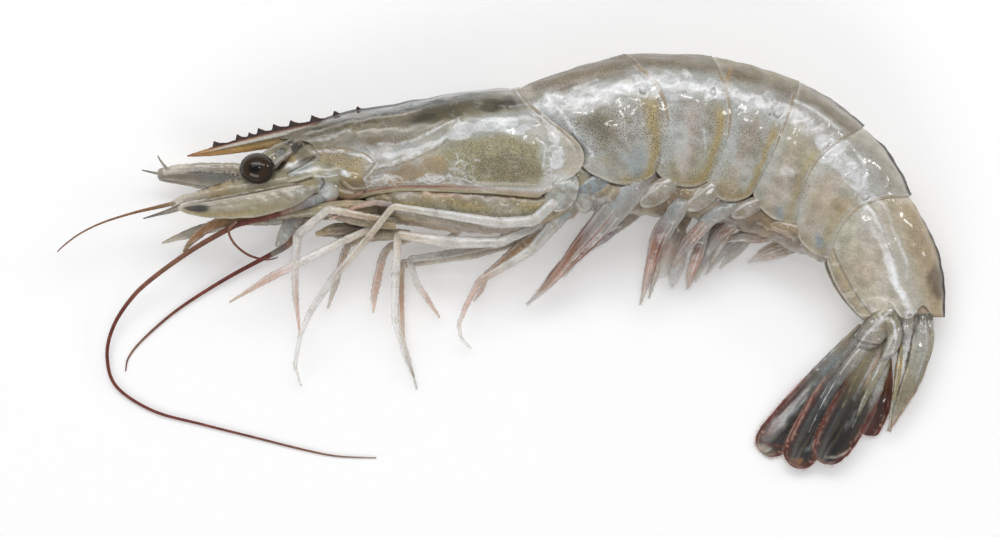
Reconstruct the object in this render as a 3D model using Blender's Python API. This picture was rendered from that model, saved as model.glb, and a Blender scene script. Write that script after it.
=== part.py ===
"""Whole raw shrimp, head on, lying on its right side.

+X runs from the head to the tail, +Y from the legs to the back, and +Z from the surface it lies
on up through its left side.  Lengths are in millimetres until MM turns them into metres.

The body is a row of hollow-bellied rings between joint lines.  Each joint line is found by
walking along the back: a step, a heading, then the depth and lean of the line down to the belly.
The limbs are walked the same way, one podomere after another.
"""

import math

import bmesh
import bpy
from mathutils import Vector

MM = 0.001
GAP = 0.36                    # clear space between two neighbouring pieces

# --- Carapace and rostrum ---------------------------------------------------------------------
BACK_START = (3.2, 27.8)      # rear end of the carapace, on the back
HEAD_MIDDLE = 7.95            # height of the animal's own middle plane, from head to carapace
# Stations from the front margin backwards: back point, rim point, half width.
CARAPACE_STATIONS = (
    ((-33.0, 20.6), (-22.6, 9.9), 4.3),
    ((-25.6, 23.2), (-17.0, 11.0), 5.9),
    ((-16.0, 25.0), (-9.5, 11.0), 7.2),
    ((-6.4, 26.9), (-0.5, 10.6), 8.0),
    (BACK_START, (9.5, 9.6), 8.2),
)
CARAPACE_RINGS = 15
FRONT_BOW = 1.2
REAR_BOW = 6.0
REAR_SKEW = 1.8               # above 1 the rear margin bulges most below its middle
RIM_WIDTH = 0.74              # width at the rim, against the widest

ROSTRUM_TIP = (-50.1, 16.8)
ROSTRUM_BACK = ((-50.1, 16.9), (-34.0, 22.5), (-16.0, 24.9))
ROSTRUM_KEEL = ((-50.1, 16.7), (-42.0, 16.5), (-29.0, 19.4), (-16.0, 22.5))
ROSTRUM_THICKNESS = 1.2
TOOTH_TIPS = (-45.8, -42.1, -40.2, -38.7, -36.3, -33.6, -30.2, -26.6, -22.9)
TOOTH_HEIGHT = 0.95
TOOTH_BACK = 2.3              # length of a tooth's long rear slope

# --- Abdomen ----------------------------------------------------------------------------------
# Joint lines after the carapace: step and heading along the back, depth and lean of the line,
# how far it bows towards the tail, half the body's width.
BODY_JOINTS = (
    (16.8, 18.0, 19.6, -73.4, 4.2, 7.8),
    (14.1, -0.8, 20.2, -91.4, 3.3, 7.6),
    (14.6, -15.1, 19.3, -111.5, 0.5, 7.3),
    (12.7, -34.7, 18.9, -124.2, -3.0, 6.8),
    (13.3, -55.1, 16.8, -141.8, -3.5, 6.0),
    (20.7, -73.8, 12.5, -177.3, 0.0, 4.2),
)
BACK_ARCH = (0.3, 0.3, 0.3, 0.5, 1.0, 1.8)
PLEURON_DROP = (2.6, 1.6, 2.4, 1.7, 1.5, 1.2)
SEGMENT_RINGS = 7
WIDEST_AT = 0.42              # how far down a ring its widest place is
EDGE_WIDTH = 0.68             # width at the pleura's lower edges, against the widest
BELLY_AT = 0.9                # how far down the soft belly between the pleura lies
BELLY_WIDTH = 0.5
REST_FLAT = 0.3               # the body is pared flat by this much where it lies

# --- Soft parts in the middle plane: x, top, bottom, half width at the top --------------------
MOUTH_STATIONS = (
    (-21.8, 9.0, 7.6, 1.4),
    (-24.4, 10.9, 8.0, 1.8),
    (-26.8, 13.2, 8.2, 2.1),
    (-29.4, 15.3, 8.6, 2.1),
    (-32.2, 14.8, 9.8, 1.7),
)
THORAX_STATIONS = (
    (-21.0, 9.4, 7.2, 2.2),
    (-17.0, 10.5, 5.8, 3.6),
    (-10.0, 10.5, 4.2, 4.4),
    (-2.0, 10.2, 3.9, 4.6),
    (5.0, 9.7, 5.0, 4.4),
    (8.6, 9.0, 6.8, 3.0),
)

# --- Head: positions on the left side; the right side mirrors them in the middle plane ---------
EYE_CENTRE = (-38.6, 14.7, 12.3)
EYE_RADII = (2.9, 2.5, 2.5)
EYESTALK = ((-32.6, 17.2, 9.4, 1.0), (-34.3, 16.6, 10.4, 1.2), (-35.7, 15.9, 11.1, 1.1))

# --- Limbs ------------------------------------------------------------------------------------
# A leg is its start (x, y, height, radius), then podomeres: length, heading, end height, end
# radius.  The left legs lie over the right ones.
LEGS = {
    "leg_left_1": ((-19.6, 5.6, 11.2, 0.55),
                   ((5.7, -156, 10.4, 0.55), (8.0, -154, 9.6, 0.6), (5.4, -153, 8.4, 0.55),
                    (7.6, -149, 6.6, 0.15))),
    "leg_left_2": ((-21.6, 7.1, 13.3, 0.5),
                   ((3.4, 168, 13.0, 0.55), (2.4, 170, 12.4, 0.6), (6.4, -142, 9.0, 0.65),
                    (4.9, -97, 6.3, 0.6), (5.1, -89, 4.6, 0.45), (5.8, -84, 3.4, 0.15))),
    "leg_left_3": ((6.2, 7.0, 13.2, 0.6),
                   ((6.4, -169, 13.6, 0.7), (10.3, 171, 13.8, 0.6), (6.8, 171, 13.4, 0.5),
                    (6.6, -129, 12.6, 0.5), (8.5, -131, 10.2, 0.55), (6.2, -125, 7.6, 0.45),
                    (4.2, -115, 5.6, 0.35), (5.2, -101, 3.0, 0.28), (3.4, -74, 1.4, 0.14))),
    "leg_left_4": ((5.2, 5.2, 11.6, 0.6),
                   ((5.8, -157, 11.7, 0.75), (8.0, 180, 12.0, 0.9), (8.2, 171, 11.6, 0.6),
                    (6.1, -94, 9.6, 0.6), (7.5, -92, 6.4, 0.5), (6.3, -74, 4.0, 0.35),
                    (3.6, -68, 2.9, 0.14))),
    "leg_left_5": ((10.9, 8.2, 10.8, 0.9),
                   ((3.4, -135, 10.8, 1.0), (5.3, -131, 10.2, 0.7), (4.2, -148, 9.4, 0.6),
                    (5.5, -150, 8.4, 0.5), (4.4, -118, 6.0, 0.4), (3.4, -112, 3.8, 0.3),
                    (2.1, -81, 2.6, 0.25), (2.4, -48, 1.6, 0.14))),
    "leg_right_1": ((-19.0, 5.0, 4.4, 0.5),
                    ((5.8, -156, 4.2, 0.5), (1.6, -119, 3.9, 0.5), (5.3, -106, 2.8, 0.5),
                     (4.0, -108, 1.6, 0.15))),
    "leg_right_2": ((-8.6, 3.2, 6.0, 0.5),
                    ((5.6, 174, 5.6, 0.5), (4.2, -157, 5.2, 0.5), (2.1, -117, 4.8, 0.55),
                     (3.8, -102, 4.2, 0.6), (2.1, -103, 3.8, 0.5), (2.9, -93, 3.2, 0.15))),
    "leg_right_3": ((-0.4, 2.8, 3.4, 0.6),
                    ((9.0, -168, 3.5, 0.6), (5.5, -173, 3.4, 0.5), (4.4, -71, 2.9, 0.45),
                     (2.5, -55, 2.6, 0.4), (3.8, -57, 2.0, 0.14))),
    "leg_right_4": ((2.6, 3.0, 1.4, 0.6),
                    ((7.2, -165, 1.5, 0.7), (11.8, -172, 1.6, 0.6), (4.5, -90, 1.4, 0.5),
                     (7.7, -88, 1.0, 0.4), (2.9, -71, 0.7, 0.3), (5.4, -75, 0.3, 0.15))),
    "leg_right_5": ((6.6, 4.6, 3.4, 0.8),
                    ((3.4, -147, 3.2, 0.8), (3.1, -141, 2.8, 0.6), (4.9, -139, 2.2, 0.5),
                     (2.1, -103, 1.8, 0.4), (2.5, -125, 1.4, 0.15))),
}

# Whips, each a route of hand-laid points: x, y, height, radius.
WHIPS = {
    "antenna_whip_left": (
        (-30.0, 9.6, 12.6, 1.0), (-33.6, 8.2, 12.0, 0.85), (-38.1, 6.9, 10.9, 0.65),
        (-43.4, 5.0, 9.4, 0.48), (-49.6, 1.6, 7.0, 0.44), (-56.0, -2.9, 4.4, 0.42),
        (-59.5, -6.2, 3.1, 0.4), (-62.4, -10.7, 1.9, 0.38), (-63.5, -15.5, 1.1, 0.36),
        (-62.1, -20.3, 0.6, 0.34), (-56.0, -24.2, 0.4, 0.3), (-48.0, -26.4, 0.35, 0.26),
        (-40.0, -28.4, 0.3, 0.23), (-32.0, -30.4, 0.26, 0.2), (-26.4, -31.5, 0.22, 0.17),
        (-20.0, -31.8, 0.2, 0.14)),
    "antenna_whip_right": (
        (-30.0, 8.4, 3.5, 0.85), (-32.0, 5.5, 3.2, 0.7), (-33.9, 2.9, 2.7, 0.6),
        (-38.7, 0.0, 1.7, 0.42), (-44.5, -3.0, 1.0, 0.36), (-52.0, -7.8, 0.5, 0.28),
        (-57.6, -12.6, 0.3, 0.2), (-60.0, -15.6, 0.24, 0.17), (-60.5, -17.8, 0.2, 0.14)),
    "palp_whip": (
        (-42.2, 6.8, 10.9, 0.24), (-43.2, 5.4, 10.6, 0.2), (-43.2, 3.5, 9.9, 0.2),
        (-41.6, 1.6, 9.0, 0.2), (-39.0, 0.4, 8.1, 0.2), (-35.5, 0.5, 7.2, 0.15)),
    "antennule_whip_left_upper": (
        (-52.3, 9.2, 9.7, 0.36), (-54.7, 8.6, 9.3, 0.34), (-58.2, 7.8, 8.7, 0.28),
        (-61.4, 6.9, 8.0, 0.24), (-64.5, 5.8, 7.2, 0.2), (-67.5, 4.3, 6.2, 0.17),
        (-69.9, 2.6, 5.2, 0.15), (-71.2, 1.5, 4.6, 0.14)),
    "antennule_whip_left_lower": (
        (-52.0, 8.0, 8.7, 0.34), (-54.4, 7.5, 8.1, 0.3), (-57.0, 6.8, 7.4, 0.14)),
    "antennule_whip_right_upper": (
        (-53.9, 15.0, 6.6, 0.3), (-54.4, 16.0, 6.4, 0.24), (-54.9, 16.8, 6.2, 0.14)),
    "antennule_whip_right_lower": (
        (-54.2, 13.9, 5.9, 0.32), (-55.8, 14.2, 5.5, 0.26), (-57.5, 14.6, 5.0, 0.14)),
}

# Blades: route of x, y, height; greatest half width and half thickness; roll of the flat side
# out of the picture of the side view, in degrees; where along it is widest; width at its root.
BLADES = {
    "antenna_scale_left": (((-30.6, 12.0, 11.6), (-38.4, 9.5, 12.8), (-45.6, 8.4, 12.4),
                            (-51.0, 8.6, 11.6)), 2.3, 0.95, 62, 0.45, 0.6),
    "antenna_scale_right": (((-30.8, 11.6, 4.4), (-38.4, 10.3, 3.3), (-46.0, 11.9, 3.6),
                             (-53.2, 13.0, 4.2)), 2.3, 0.75, 118, 0.45, 0.6),
    "antennule_stem_left": (((-33.0, 13.4, 9.5), (-40.6, 12.0, 9.5), (-47.2, 10.7, 9.4),
                             (-51.6, 9.5, 9.2)), 1.1, 0.75, 20, 0.3, 0.8),
    "antennule_stem_right": (((-33.4, 13.8, 7.0), (-39.0, 14.3, 7.0), (-47.2, 14.9, 6.8),
                              (-53.4, 14.4, 6.5)), 1.0, 0.6, 170, 0.3, 0.8),
    "maxilliped_left": (((-36.5, 6.6, 8.7), (-42.5, 5.3, 7.8), (-48.0, 4.0, 6.5),
                         (-50.9, 1.8, 5.0)), 0.95, 0.5, 10, 0.5, 0.6),
    "maxilliped_right": (((-36.5, 7.4, 6.9), (-42.5, 6.7, 6.0), (-49.0, 4.8, 4.8),
                          (-54.4, 2.9, 3.6)), 1.0, 0.45, 170, 0.5, 0.6),
    "mouth_leaf": (((-31.6, 7.2, 8.4), (-32.4, 5.6, 7.8), (-33.8, 4.2, 7.2),
                    (-35.6, 3.1, 6.6)), 1.15, 0.3, 0, 0.4, 0.8),
    "pleopod_left_1": (((21.2, 12.0, 10.2), (17.0, 7.4, 10.0), (10.6, 1.2, 7.2),
                        (4.2, -7.0, 3.6)), 2.3, 0.6, 8, 0.3, 0.75),
    "pleopod_right_1": (((23.6, 11.4, 5.2), (20.0, 7.6, 4.7), (15.0, 3.4, 3.5),
                         (9.6, -1.0, 2.2)), 1.6, 0.5, -8, 0.3, 0.75),
    "pleopod_left_2": (((28.2, 12.2, 10.0), (25.9, 7.0, 10.2), (24.0, 0.4, 7.8),
                        (22.6, -7.2, 4.4)), 1.4, 0.55, 8, 0.3, 0.8),
    "pleopod_right_2": (((31.0, 11.6, 5.0), (29.4, 7.0, 4.3), (27.6, 1.8, 3.1),
                         (26.6, -3.6, 1.8)), 1.6, 0.4, -8, 0.5, 0.7),
    "pleopod_left_3": (((35.4, 11.2, 9.7), (33.0, 7.2, 9.8), (29.6, 2.2, 7.6),
                        (27.4, -4.0, 5.0)), 1.6, 0.5, 8, 0.4, 0.7),
    "pleopod_right_3": (((37.4, 10.0, 4.8), (35.2, 6.2, 4.1), (32.2, 1.2, 3.0),
                         (30.2, -4.4, 1.6)), 1.4, 0.4, -8, 0.5, 0.7),
    "pleopod_left_4": (((42.0, 9.2, 9.2), (39.2, 7.2, 9.3), (35.2, 3.8, 7.9),
                        (32.4, -1.2, 6.2)), 1.4, 0.5, 8, 0.4, 0.7),
    "pleopod_right_4": (((43.6, 7.8, 4.6), (40.8, 5.4, 4.0), (36.6, 2.2, 3.1),
                         (33.0, -2.2, 2.0)), 1.2, 0.4, -8, 0.5, 0.7),
    "pleopod_left_5": (((47.9, 4.4, 8.6), (44.0, 5.0, 8.4), (39.6, 4.7, 7.4),
                        (35.6, 3.0, 6.0)), 1.2, 0.5, 8, 0.4, 0.7),
    "pleopod_right_5": (((49.8, 2.4, 4.4), (46.8, 2.4, 3.9), (43.6, 1.2, 3.0),
                         (40.2, 0.0, 2.0)), 1.4, 0.4, -8, 0.45, 0.6),
    "telson": (((67.4, -9.9, 4.4), (66.9, -15.6, 4.4), (65.0, -21.4, 3.7),
                (62.6, -27.2, 2.8)), 2.5, 0.75, 10, 0.12, 0.85),
    "uropod_base_left": (((61.5, -10.1, 6.5), (61.2, -11.6, 6.4), (60.9, -12.8, 6.2),
                          (60.7, -13.9, 6.0)), 2.6, 0.9, 0, 0.4, 0.8),
    "uropod_base_right": (((60.2, -10.6, 2.0), (59.8, -11.4, 1.9), (59.2, -12.2, 1.8),
                           (58.4, -13.2, 1.6)), 2.4, 0.8, 0, 0.4, 0.8),
    "uropod_outer_left": (((57.8, -14.4, 4.8), (54.2, -19.8, 4.0), (51.0, -25.8, 2.9),
                           (47.4, -33.0, 1.9)), 2.9, 0.4, 0, 0.72, 0.42),
    "uropod_inner_left": (((60.4, -15.2, 5.9), (58.6, -20.0, 5.1), (55.4, -26.0, 4.0),
                           (52.2, -32.0, 3.0)), 3.3, 0.4, 0, 0.62, 0.42),
    "uropod_outer_right": (((56.6, -14.2, 2.2), (52.6, -18.8, 2.0), (48.0, -24.2, 1.3),
                            (42.6, -30.4, 0.5)), 3.1, 0.4, 0, 0.72, 0.42),
    "uropod_inner_right": (((61.0, -14.2, 1.3), (61.4, -18.4, 1.2), (60.6, -23.0, 1.0),
                            (58.8, -27.4, 0.7)), 2.3, 0.4, 0, 0.62, 0.5),
}
BLADE_RINGS = {"antenna_scale": 9, "uropod_outer": 9, "uropod_inner": 9, "telson": 8}
ANTENNA_BASE_CENTRE = (-27.5, 11.6, 12.4)
ANTENNA_BASE_RADII = (2.5, 2.7, 2.0)

# --- Materials: colour, roughness ---------------------------------------------------------------
FINISHES = {
    "shell": ((0.42, 0.41, 0.34), 0.3),
    "thorax_flesh": ((0.40, 0.34, 0.20), 0.4),
    "eye_black": ((0.02, 0.014, 0.012), 0.08),
    "eyestalk_olive": ((0.30, 0.28, 0.18), 0.35),
    "joint_pale": ((0.72, 0.70, 0.58), 0.3),
    "antenna_red": ((0.22, 0.05, 0.035), 0.35),
    "antennule_tan": ((0.50, 0.40, 0.24), 0.35),
    "leg_pale": ((0.66, 0.62, 0.54), 0.35),
    "swimmer_pink": ((0.48, 0.33, 0.28), 0.35),
    "tail_slate": ((0.12, 0.12, 0.12), 0.3),
}
NODE_FINISH = (
    ("carapace", "shell"), ("abdomen", "shell"), ("telson", "shell"), ("uropod_base", "shell"),
    ("thorax", "thorax_flesh"), ("eyestalk", "eyestalk_olive"), ("eye", "eye_black"),
    ("antenna_base", "joint_pale"), ("antenna_whip", "antenna_red"), ("palp", "antenna_red"),
    ("antenn", "antennule_tan"), ("leg", "leg_pale"), ("maxilliped", "antennule_tan"),
    ("mouth_frame", "thorax_flesh"), ("mouth", "leg_pale"), ("pleopod", "swimmer_pink"),
    ("uropod", "tail_slate"),
)


def clear_scene():
    for item in list(bpy.data.objects):
        bpy.data.objects.remove(item, do_unlink=True)


def new_collection(name):
    group = bpy.data.collections.new(name)
    bpy.context.scene.collection.children.link(group)
    return group


def make_materials():
    made = {}
    for name, (colour, roughness) in FINISHES.items():
        material = bpy.data.materials.new(name)
        material.use_nodes = True
        shader = material.node_tree.nodes["Principled BSDF"]
        shader.inputs["Base Color"].default_value = (*colour, 1.0)
        shader.inputs["Roughness"].default_value = roughness
        shader.inputs["Metallic"].default_value = 0.0
        made[name] = material
    return made


def finish_of(node):
    return next(finish for prefix, finish in NODE_FINISH if node.startswith(prefix))


def add_object(name, data, group, materials):
    item = bpy.data.objects.new(name, data)
    data.materials.append(materials[finish_of(name)])
    group.objects.link(item)
    return item


# --- Curves in the side view --------------------------------------------------------------------

def mix(a, b, t):
    return tuple(p + (q - p) * t for p, q in zip(a, b))


def bezier(points, t):
    """Point at t on the Bezier curve of any number of control points."""
    points = list(points)
    while len(points) > 1:
        points = [mix(a, b, t) for a, b in zip(points, points[1:])]
    return points[0]


def smooth_point(points, t):
    """Point at t, from 0 to 1, on a smooth curve through all the points."""
    spans = len(points) - 1
    place = min(max(t, 0.0), 1.0) * spans
    i = min(int(place), spans - 1)
    u = place - i
    before = points[i - 1] if i > 0 else mix(points[1], points[0], 2.0)
    after = points[i + 2] if i + 2 <= spans else mix(points[-2], points[-1], 2.0)
    a, b = points[i], points[i + 1]
    return tuple(
        0.5 * (2 * q + (r - p) * u + (2 * p - 5 * q + 4 * r - s) * u * u
               + (3 * q - p - 3 * r + s) * u ** 3)
        for p, q, r, s in zip(before, a, b, after))


def joint_line(back, belly, bow, skew=1.0):
    """Line from back to belly that bows towards the tail; its parameter runs from 0 to 1."""
    dx, dy = belly[0] - back[0], belly[1] - back[1]
    length = math.hypot(dx, dy)
    tailward = (-dy / length, dx / length)

    def at(s, shift=0.0):
        push = bow * math.sin(math.pi * s ** skew) + shift
        return (back[0] + dx * s + tailward[0] * push, back[1] + dy * s + tailward[1] * push)
    return at


def walk_joints():
    """Joint lines of the abdomen with the body's half width at each."""
    lines = []
    x, y = BACK_START
    for step, heading, depth, lean, bow, half_width in BODY_JOINTS:
        x += step * math.cos(math.radians(heading))
        y += step * math.sin(math.radians(heading))
        belly = (x + depth * math.cos(math.radians(lean)), y + depth * math.sin(math.radians(lean)))
        lines.append((joint_line((x, y), belly, bow), half_width))
    return lines


def flank():
    """Down one side of a ring: how far down, and the width there against the widest."""
    quarter = [math.radians(a) for a in (22.5, 45.0, 67.5, 90.0)]
    rows = [(WIDEST_AT * (1 - math.cos(a)), math.sin(a)) for a in quarter]
    return rows + [(s, lower_width(s, EDGE_WIDTH)) for s in (0.56, 0.7, 0.82, BELLY_AT, 1.0)]


def lower_width(s, edge):
    return 1.0 - (1.0 - edge) * ((s - WIDEST_AT) / (1.0 - WIDEST_AT)) ** 2


# --- Meshes -------------------------------------------------------------------------------------

def mesh_from(name, points, faces):
    """Mesh with its place in it; nothing reaches below the surface the animal lies on."""
    data = bpy.data.meshes.new(name)
    data.from_pydata([(x * MM, y * MM, max(z, 0.0) * MM) for x, y, z in points], [], faces)
    data.update()
    return data


def join_rings(rings, caps):
    """Faces of a closed loft; caps lists one end's polygons as places in a ring."""
    size = len(rings[0])
    points = [p for ring in rings for p in ring]
    faces = []
    for row in range(len(rings) - 1):
        for k in range(size):
            a, b = row * size + k, row * size + (k + 1) % size
            faces.append((a, b, b + size, a + size))
    last = (len(rings) - 1) * size
    faces += [tuple(reversed(face)) for face in caps]
    faces += [tuple(last + k for k in face) for face in caps]
    return points, faces


def strip_caps(side, belly):
    """An end face as strips across the body, so that it follows a bowed joint line."""
    size = 1 + 2 * side + belly
    right = [size - k for k in range(size)]
    caps = [(0, 1, right[1])]
    flat_rows = side - 1 if belly else side
    for k in range(1, flat_rows):
        if belly and k == flat_rows - 1:
            caps.append((k, k + 1, side + 1, side + 2, right[k + 1], right[k]))
        else:
            caps.append((k, k + 1, right[k + 1], right[k]))
    if belly:
        caps.append((side - 1, side, side + 1))
        caps.append((side + 2, right[side], right[side - 1]))
    return caps


def body_ring(place, middle, half_width, rows, belly=None):
    """Ring of points: place(s) gives the side view, rows the widths down the flank."""
    left = [(*place(s), middle + half_width * w) for s, w in rows]
    right = [(*place(s), middle - half_width * w) for s, w in reversed(rows)]
    under = []
    if belly:
        s, w = belly
        under = [(*place(s), middle + half_width * w), (*place(s), middle - half_width * w)]
    return [(*place(0.0), middle)] + left + under + right


def make_segment(index, front, rear, widths, group, materials):
    """Abdomen ring between two joint lines, with plates that hang on both sides of the belly."""
    rows = flank()
    chord = Vector(rear(0.0)) - Vector(front(0.0))
    outward = Vector((-chord.y, chord.x)).normalized()
    rings = []
    for row in range(SEGMENT_RINGS):
        t = row / (SEGMENT_RINGS - 1)
        swell = math.sin(math.pi * t)

        def place(s, t=t, swell=swell):
            x, y = mix(front(s), rear(s), t)
            lift = BACK_ARCH[index] * swell * (1 - s) ** 2 - PLEURON_DROP[index] * swell * s ** 4
            return x + outward.x * lift, y + outward.y * lift

        half_width = widths[0] + (widths[1] - widths[0]) * t + 0.15 * swell
        middle = half_width - REST_FLAT
        rings.append(body_ring(place, middle, half_width, rows, (BELLY_AT, BELLY_WIDTH)))
    points, faces = join_rings(rings, strip_caps(len(rows), 2))
    name = f"abdomen_{index + 1}"
    return add_object(name, mesh_from(name, points, faces), group, materials)


def make_abdomen(carapace_rear, group, materials):
    lines = walk_joints()

    def first(s):
        return carapace_rear(0.8 * s, GAP)

    front, width = first, CARAPACE_STATIONS[-1][2] - 0.2
    for index, (line, next_width) in enumerate(lines):
        def rear(s, line=line):
            return line(s, -GAP / 2)
        make_segment(index, front, rear, (width, next_width), group, materials)

        def front(s, line=line):
            return line(s, GAP / 2)
        width = next_width


def rostrum_outline():
    """Toothed back edge from tip to root, then the keel back to the tip."""
    def back(x):
        low, high = 0.0, 1.0
        for _ in range(30):
            t = (low + high) / 2
            if bezier(ROSTRUM_BACK, t)[0] < x:
                low = t
            else:
                high = t
        return bezier(ROSTRUM_BACK, low)[1]

    edge = [ROSTRUM_TIP]
    for i, x in enumerate(TOOTH_TIPS):
        room = TOOTH_TIPS[i + 1] - x - 0.5 if i + 1 < len(TOOTH_TIPS) else TOOTH_BACK
        reach = min(TOOTH_BACK, room)
        height = TOOTH_HEIGHT * min(1.0, reach / 1.2)
        edge += [(x + 0.35, back(x + 0.35)), (x, back(x) + height), (x + reach, back(x + reach))]
    edge.append(ROSTRUM_BACK[-1])
    keel = [bezier(ROSTRUM_KEEL, 1 - k / 8) for k in range(8)]
    return edge + keel


def make_rostrum_blade(group):
    """The toothed blade that is joined to the carapace."""
    outline = bpy.data.curves.new("rostrum_outline", "CURVE")
    outline.dimensions = "2D"
    outline.fill_mode = "BOTH"
    outline.extrude = ROSTRUM_THICKNESS / 2 * MM
    edge = rostrum_outline()
    spline = outline.splines.new("POLY")
    spline.points.add(len(edge) - 1)
    for point, (x, y) in zip(spline.points, edge):
        point.co = (x * MM, y * MM, 0.0, 1.0)
    spline.use_cyclic_u = True
    flat = bpy.data.objects.new("rostrum_outline", outline)
    group.objects.link(flat)
    flat.location.z = HEAD_MIDDLE * MM
    bpy.context.view_layer.update()
    seen = flat.evaluated_get(bpy.context.evaluated_depsgraph_get())
    data = bpy.data.meshes.new_from_object(seen)
    weld(data)
    blade = bpy.data.objects.new("rostrum_blade", data)
    blade.matrix_world = flat.matrix_world
    group.objects.link(blade)
    bpy.data.objects.remove(flat, do_unlink=True)
    blade.hide_render = True
    blade.display_type = "WIRE"
    return blade


def weld(data):
    shape = bmesh.new()
    shape.from_mesh(data)
    bmesh.ops.remove_doubles(shape, verts=shape.verts, dist=0.00001)
    bmesh.ops.recalc_face_normals(shape, faces=shape.faces)
    shape.to_mesh(data)
    shape.free()


def make_carapace(group, cutters, materials):
    """Arched shield with a toothed rostrum; returns its rear margin as a joint line."""
    backs = [station[0] for station in CARAPACE_STATIONS]
    rims = [station[1] for station in CARAPACE_STATIONS]
    widths = [(station[2],) for station in CARAPACE_STATIONS]
    quarter = [math.radians(a) for a in (18.0, 36.0, 54.0, 72.0, 90.0)]
    rows = [(WIDEST_AT * (1 - math.cos(a)), math.sin(a)) for a in quarter]
    rows += [(s, lower_width(s, RIM_WIDTH)) for s in (0.55, 0.67, 0.78, 0.89, 1.0)]
    rings = []
    for row in range(CARAPACE_RINGS):
        t = row / (CARAPACE_RINGS - 1)
        bow = FRONT_BOW * (1 - t) + REAR_BOW * t ** 3
        skew = 1 + (REAR_SKEW - 1) * t
        line = joint_line(smooth_point(backs, t), smooth_point(rims, t), bow, skew)
        half_width = smooth_point(widths, t)[0]
        rings.append(body_ring(line, HEAD_MIDDLE, half_width, rows))
    points, faces = join_rings(rings, strip_caps(len(rows), 0))
    carapace = add_object("carapace", mesh_from("carapace", points, faces), group, materials)
    union = carapace.modifiers.new("rostrum", "BOOLEAN")
    union.operation = "UNION"
    union.object = make_rostrum_blade(cutters)
    return joint_line(backs[-1], rims[-1], REAR_BOW, REAR_SKEW)


def make_keel_block(name, stations, group, materials):
    """Soft block in the middle plane that narrows downwards, lofted along x."""
    rings = []
    for x, top, bottom, half_width in stations:
        depth = top - bottom
        down = [(0.0, 0.92), (0.2, 1.0), (0.45, 0.96), (0.7, 0.82), (0.88, 0.62), (1.0, 0.35)]
        left = [(x, top - depth * s, HEAD_MIDDLE + half_width * w) for s, w in down]
        right = [(x, top - depth * s, HEAD_MIDDLE - half_width * w) for s, w in reversed(down)]
        rings.append(left + right)
    size = len(rings[0])
    points, faces = join_rings(rings, [tuple(range(size))])
    add_object(name, mesh_from(name, points, faces), group, materials)


def make_tube(name, route, group, materials, sides_level=1):
    """Round tapering limb or whip along a route of x, y, height and radius."""
    data = bpy.data.curves.new(name, "CURVE")
    data.dimensions = "3D"
    data.bevel_depth = MM
    data.bevel_resolution = sides_level
    data.use_fill_caps = True
    spline = data.splines.new("POLY")
    spline.points.add(len(route) - 1)
    for point, (x, y, z, radius) in zip(spline.points, route):
        point.co = (x * MM, y * MM, max(z, radius) * MM, 1.0)
        point.radius = radius
    return add_object(name, data, group, materials)


def leg_route(start, podomeres):
    """Joints of a leg, each with a point close on both sides so that it bends like a knee."""
    joints = [start]
    for length, heading, height, radius in podomeres:
        x, y = joints[-1][:2]
        angle = math.radians(heading)
        joints.append((x + length * math.cos(angle), y + length * math.sin(angle), height, radius))
    route = [joints[0]]
    for here, ahead in zip(joints[1:], joints[2:]):
        route.append(mix(here, route[-1], 0.15))
        route.append(mix(here, ahead, 0.15))
    return route + [joints[-1]]


def make_legs(group, materials):
    for name, (start, podomeres) in LEGS.items():
        make_tube(name, leg_route(start, podomeres), group, materials)


def make_whips(group, materials):
    for name, route in WHIPS.items():
        count = max(6, 2 * len(route))
        even = [smooth_point(route, k / (count - 1)) for k in range(count)]
        make_tube(name, even, group, materials, sides_level=1)


def leaf_width(t, widest, root):
    """Width along a blade against its greatest: a root, a swell and a round tip."""
    if t < widest:
        return root + (1 - root) * math.sin(math.pi / 2 * t / widest)
    return max(0.12, math.cos(math.pi / 2 * (t - widest) / (1 - widest)) ** 0.6)


def make_blade(name, group, materials):
    """Flat limb with rounded edges, lofted along its route."""
    route, half_width, half_thickness, roll, widest, root = BLADES[name]
    count = next((n for key, n in BLADE_RINGS.items() if name.startswith(key)), 7)
    turn = math.radians(roll)
    rings = []
    for row in range(count):
        t = row / (count - 1)
        centre = Vector(smooth_point(route, t))
        ahead = Vector(smooth_point(route, min(t + 0.02, 1.0)))
        behind = Vector(smooth_point(route, max(t - 0.02, 0.0)))
        tangent = (ahead - behind).normalized()
        level = Vector((-tangent.y, tangent.x, 0.0)).normalized()
        across = level * math.cos(turn) + tangent.cross(level) * math.sin(turn)
        thin = tangent.cross(across)
        width = half_width * leaf_width(t, widest, root)
        thickness = min(width, half_thickness * (1.0 - 0.45 * t))
        ring = []
        for k in range(8):
            angle = math.tau * k / 8
            ring.append(tuple(centre + across * (width * math.cos(angle))
                              + thin * (thickness * math.sin(angle))))
        rings.append(ring)
    points, faces = join_rings(rings, [tuple(range(8))])
    add_object(name, mesh_from(name, points, faces), group, materials)


def make_ball(name, centre, radii, segments, group, materials):
    bpy.ops.mesh.primitive_uv_sphere_add(
        segments=segments, ring_count=segments * 5 // 8, radius=MM,
        location=[c * MM for c in centre])
    ball = bpy.context.object
    ball.name = name
    ball.scale = radii
    bpy.ops.object.transform_apply(location=False, rotation=False, scale=True)
    ball.data.shade_smooth()
    ball.data.materials.append(materials[finish_of(name)])
    for home in list(ball.users_collection):
        home.objects.unlink(ball)
    group.objects.link(ball)


def mirrored(point):
    """The same place on the other side of the animal's middle plane."""
    return (point[0], point[1], 2 * HEAD_MIDDLE - point[2], *point[3:])


def make_head(group, materials):
    for side, place in (("left", tuple), ("right", mirrored)):
        make_ball(f"eye_{side}", place(EYE_CENTRE), EYE_RADII, 16, group, materials)
        stalk = [place(point) for point in EYESTALK]
        make_tube(f"eyestalk_{side}", stalk, group, materials, sides_level=2)
        make_ball(f"antenna_base_{side}", place(ANTENNA_BASE_CENTRE), ANTENNA_BASE_RADII, 12,
                  group, materials)


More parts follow.
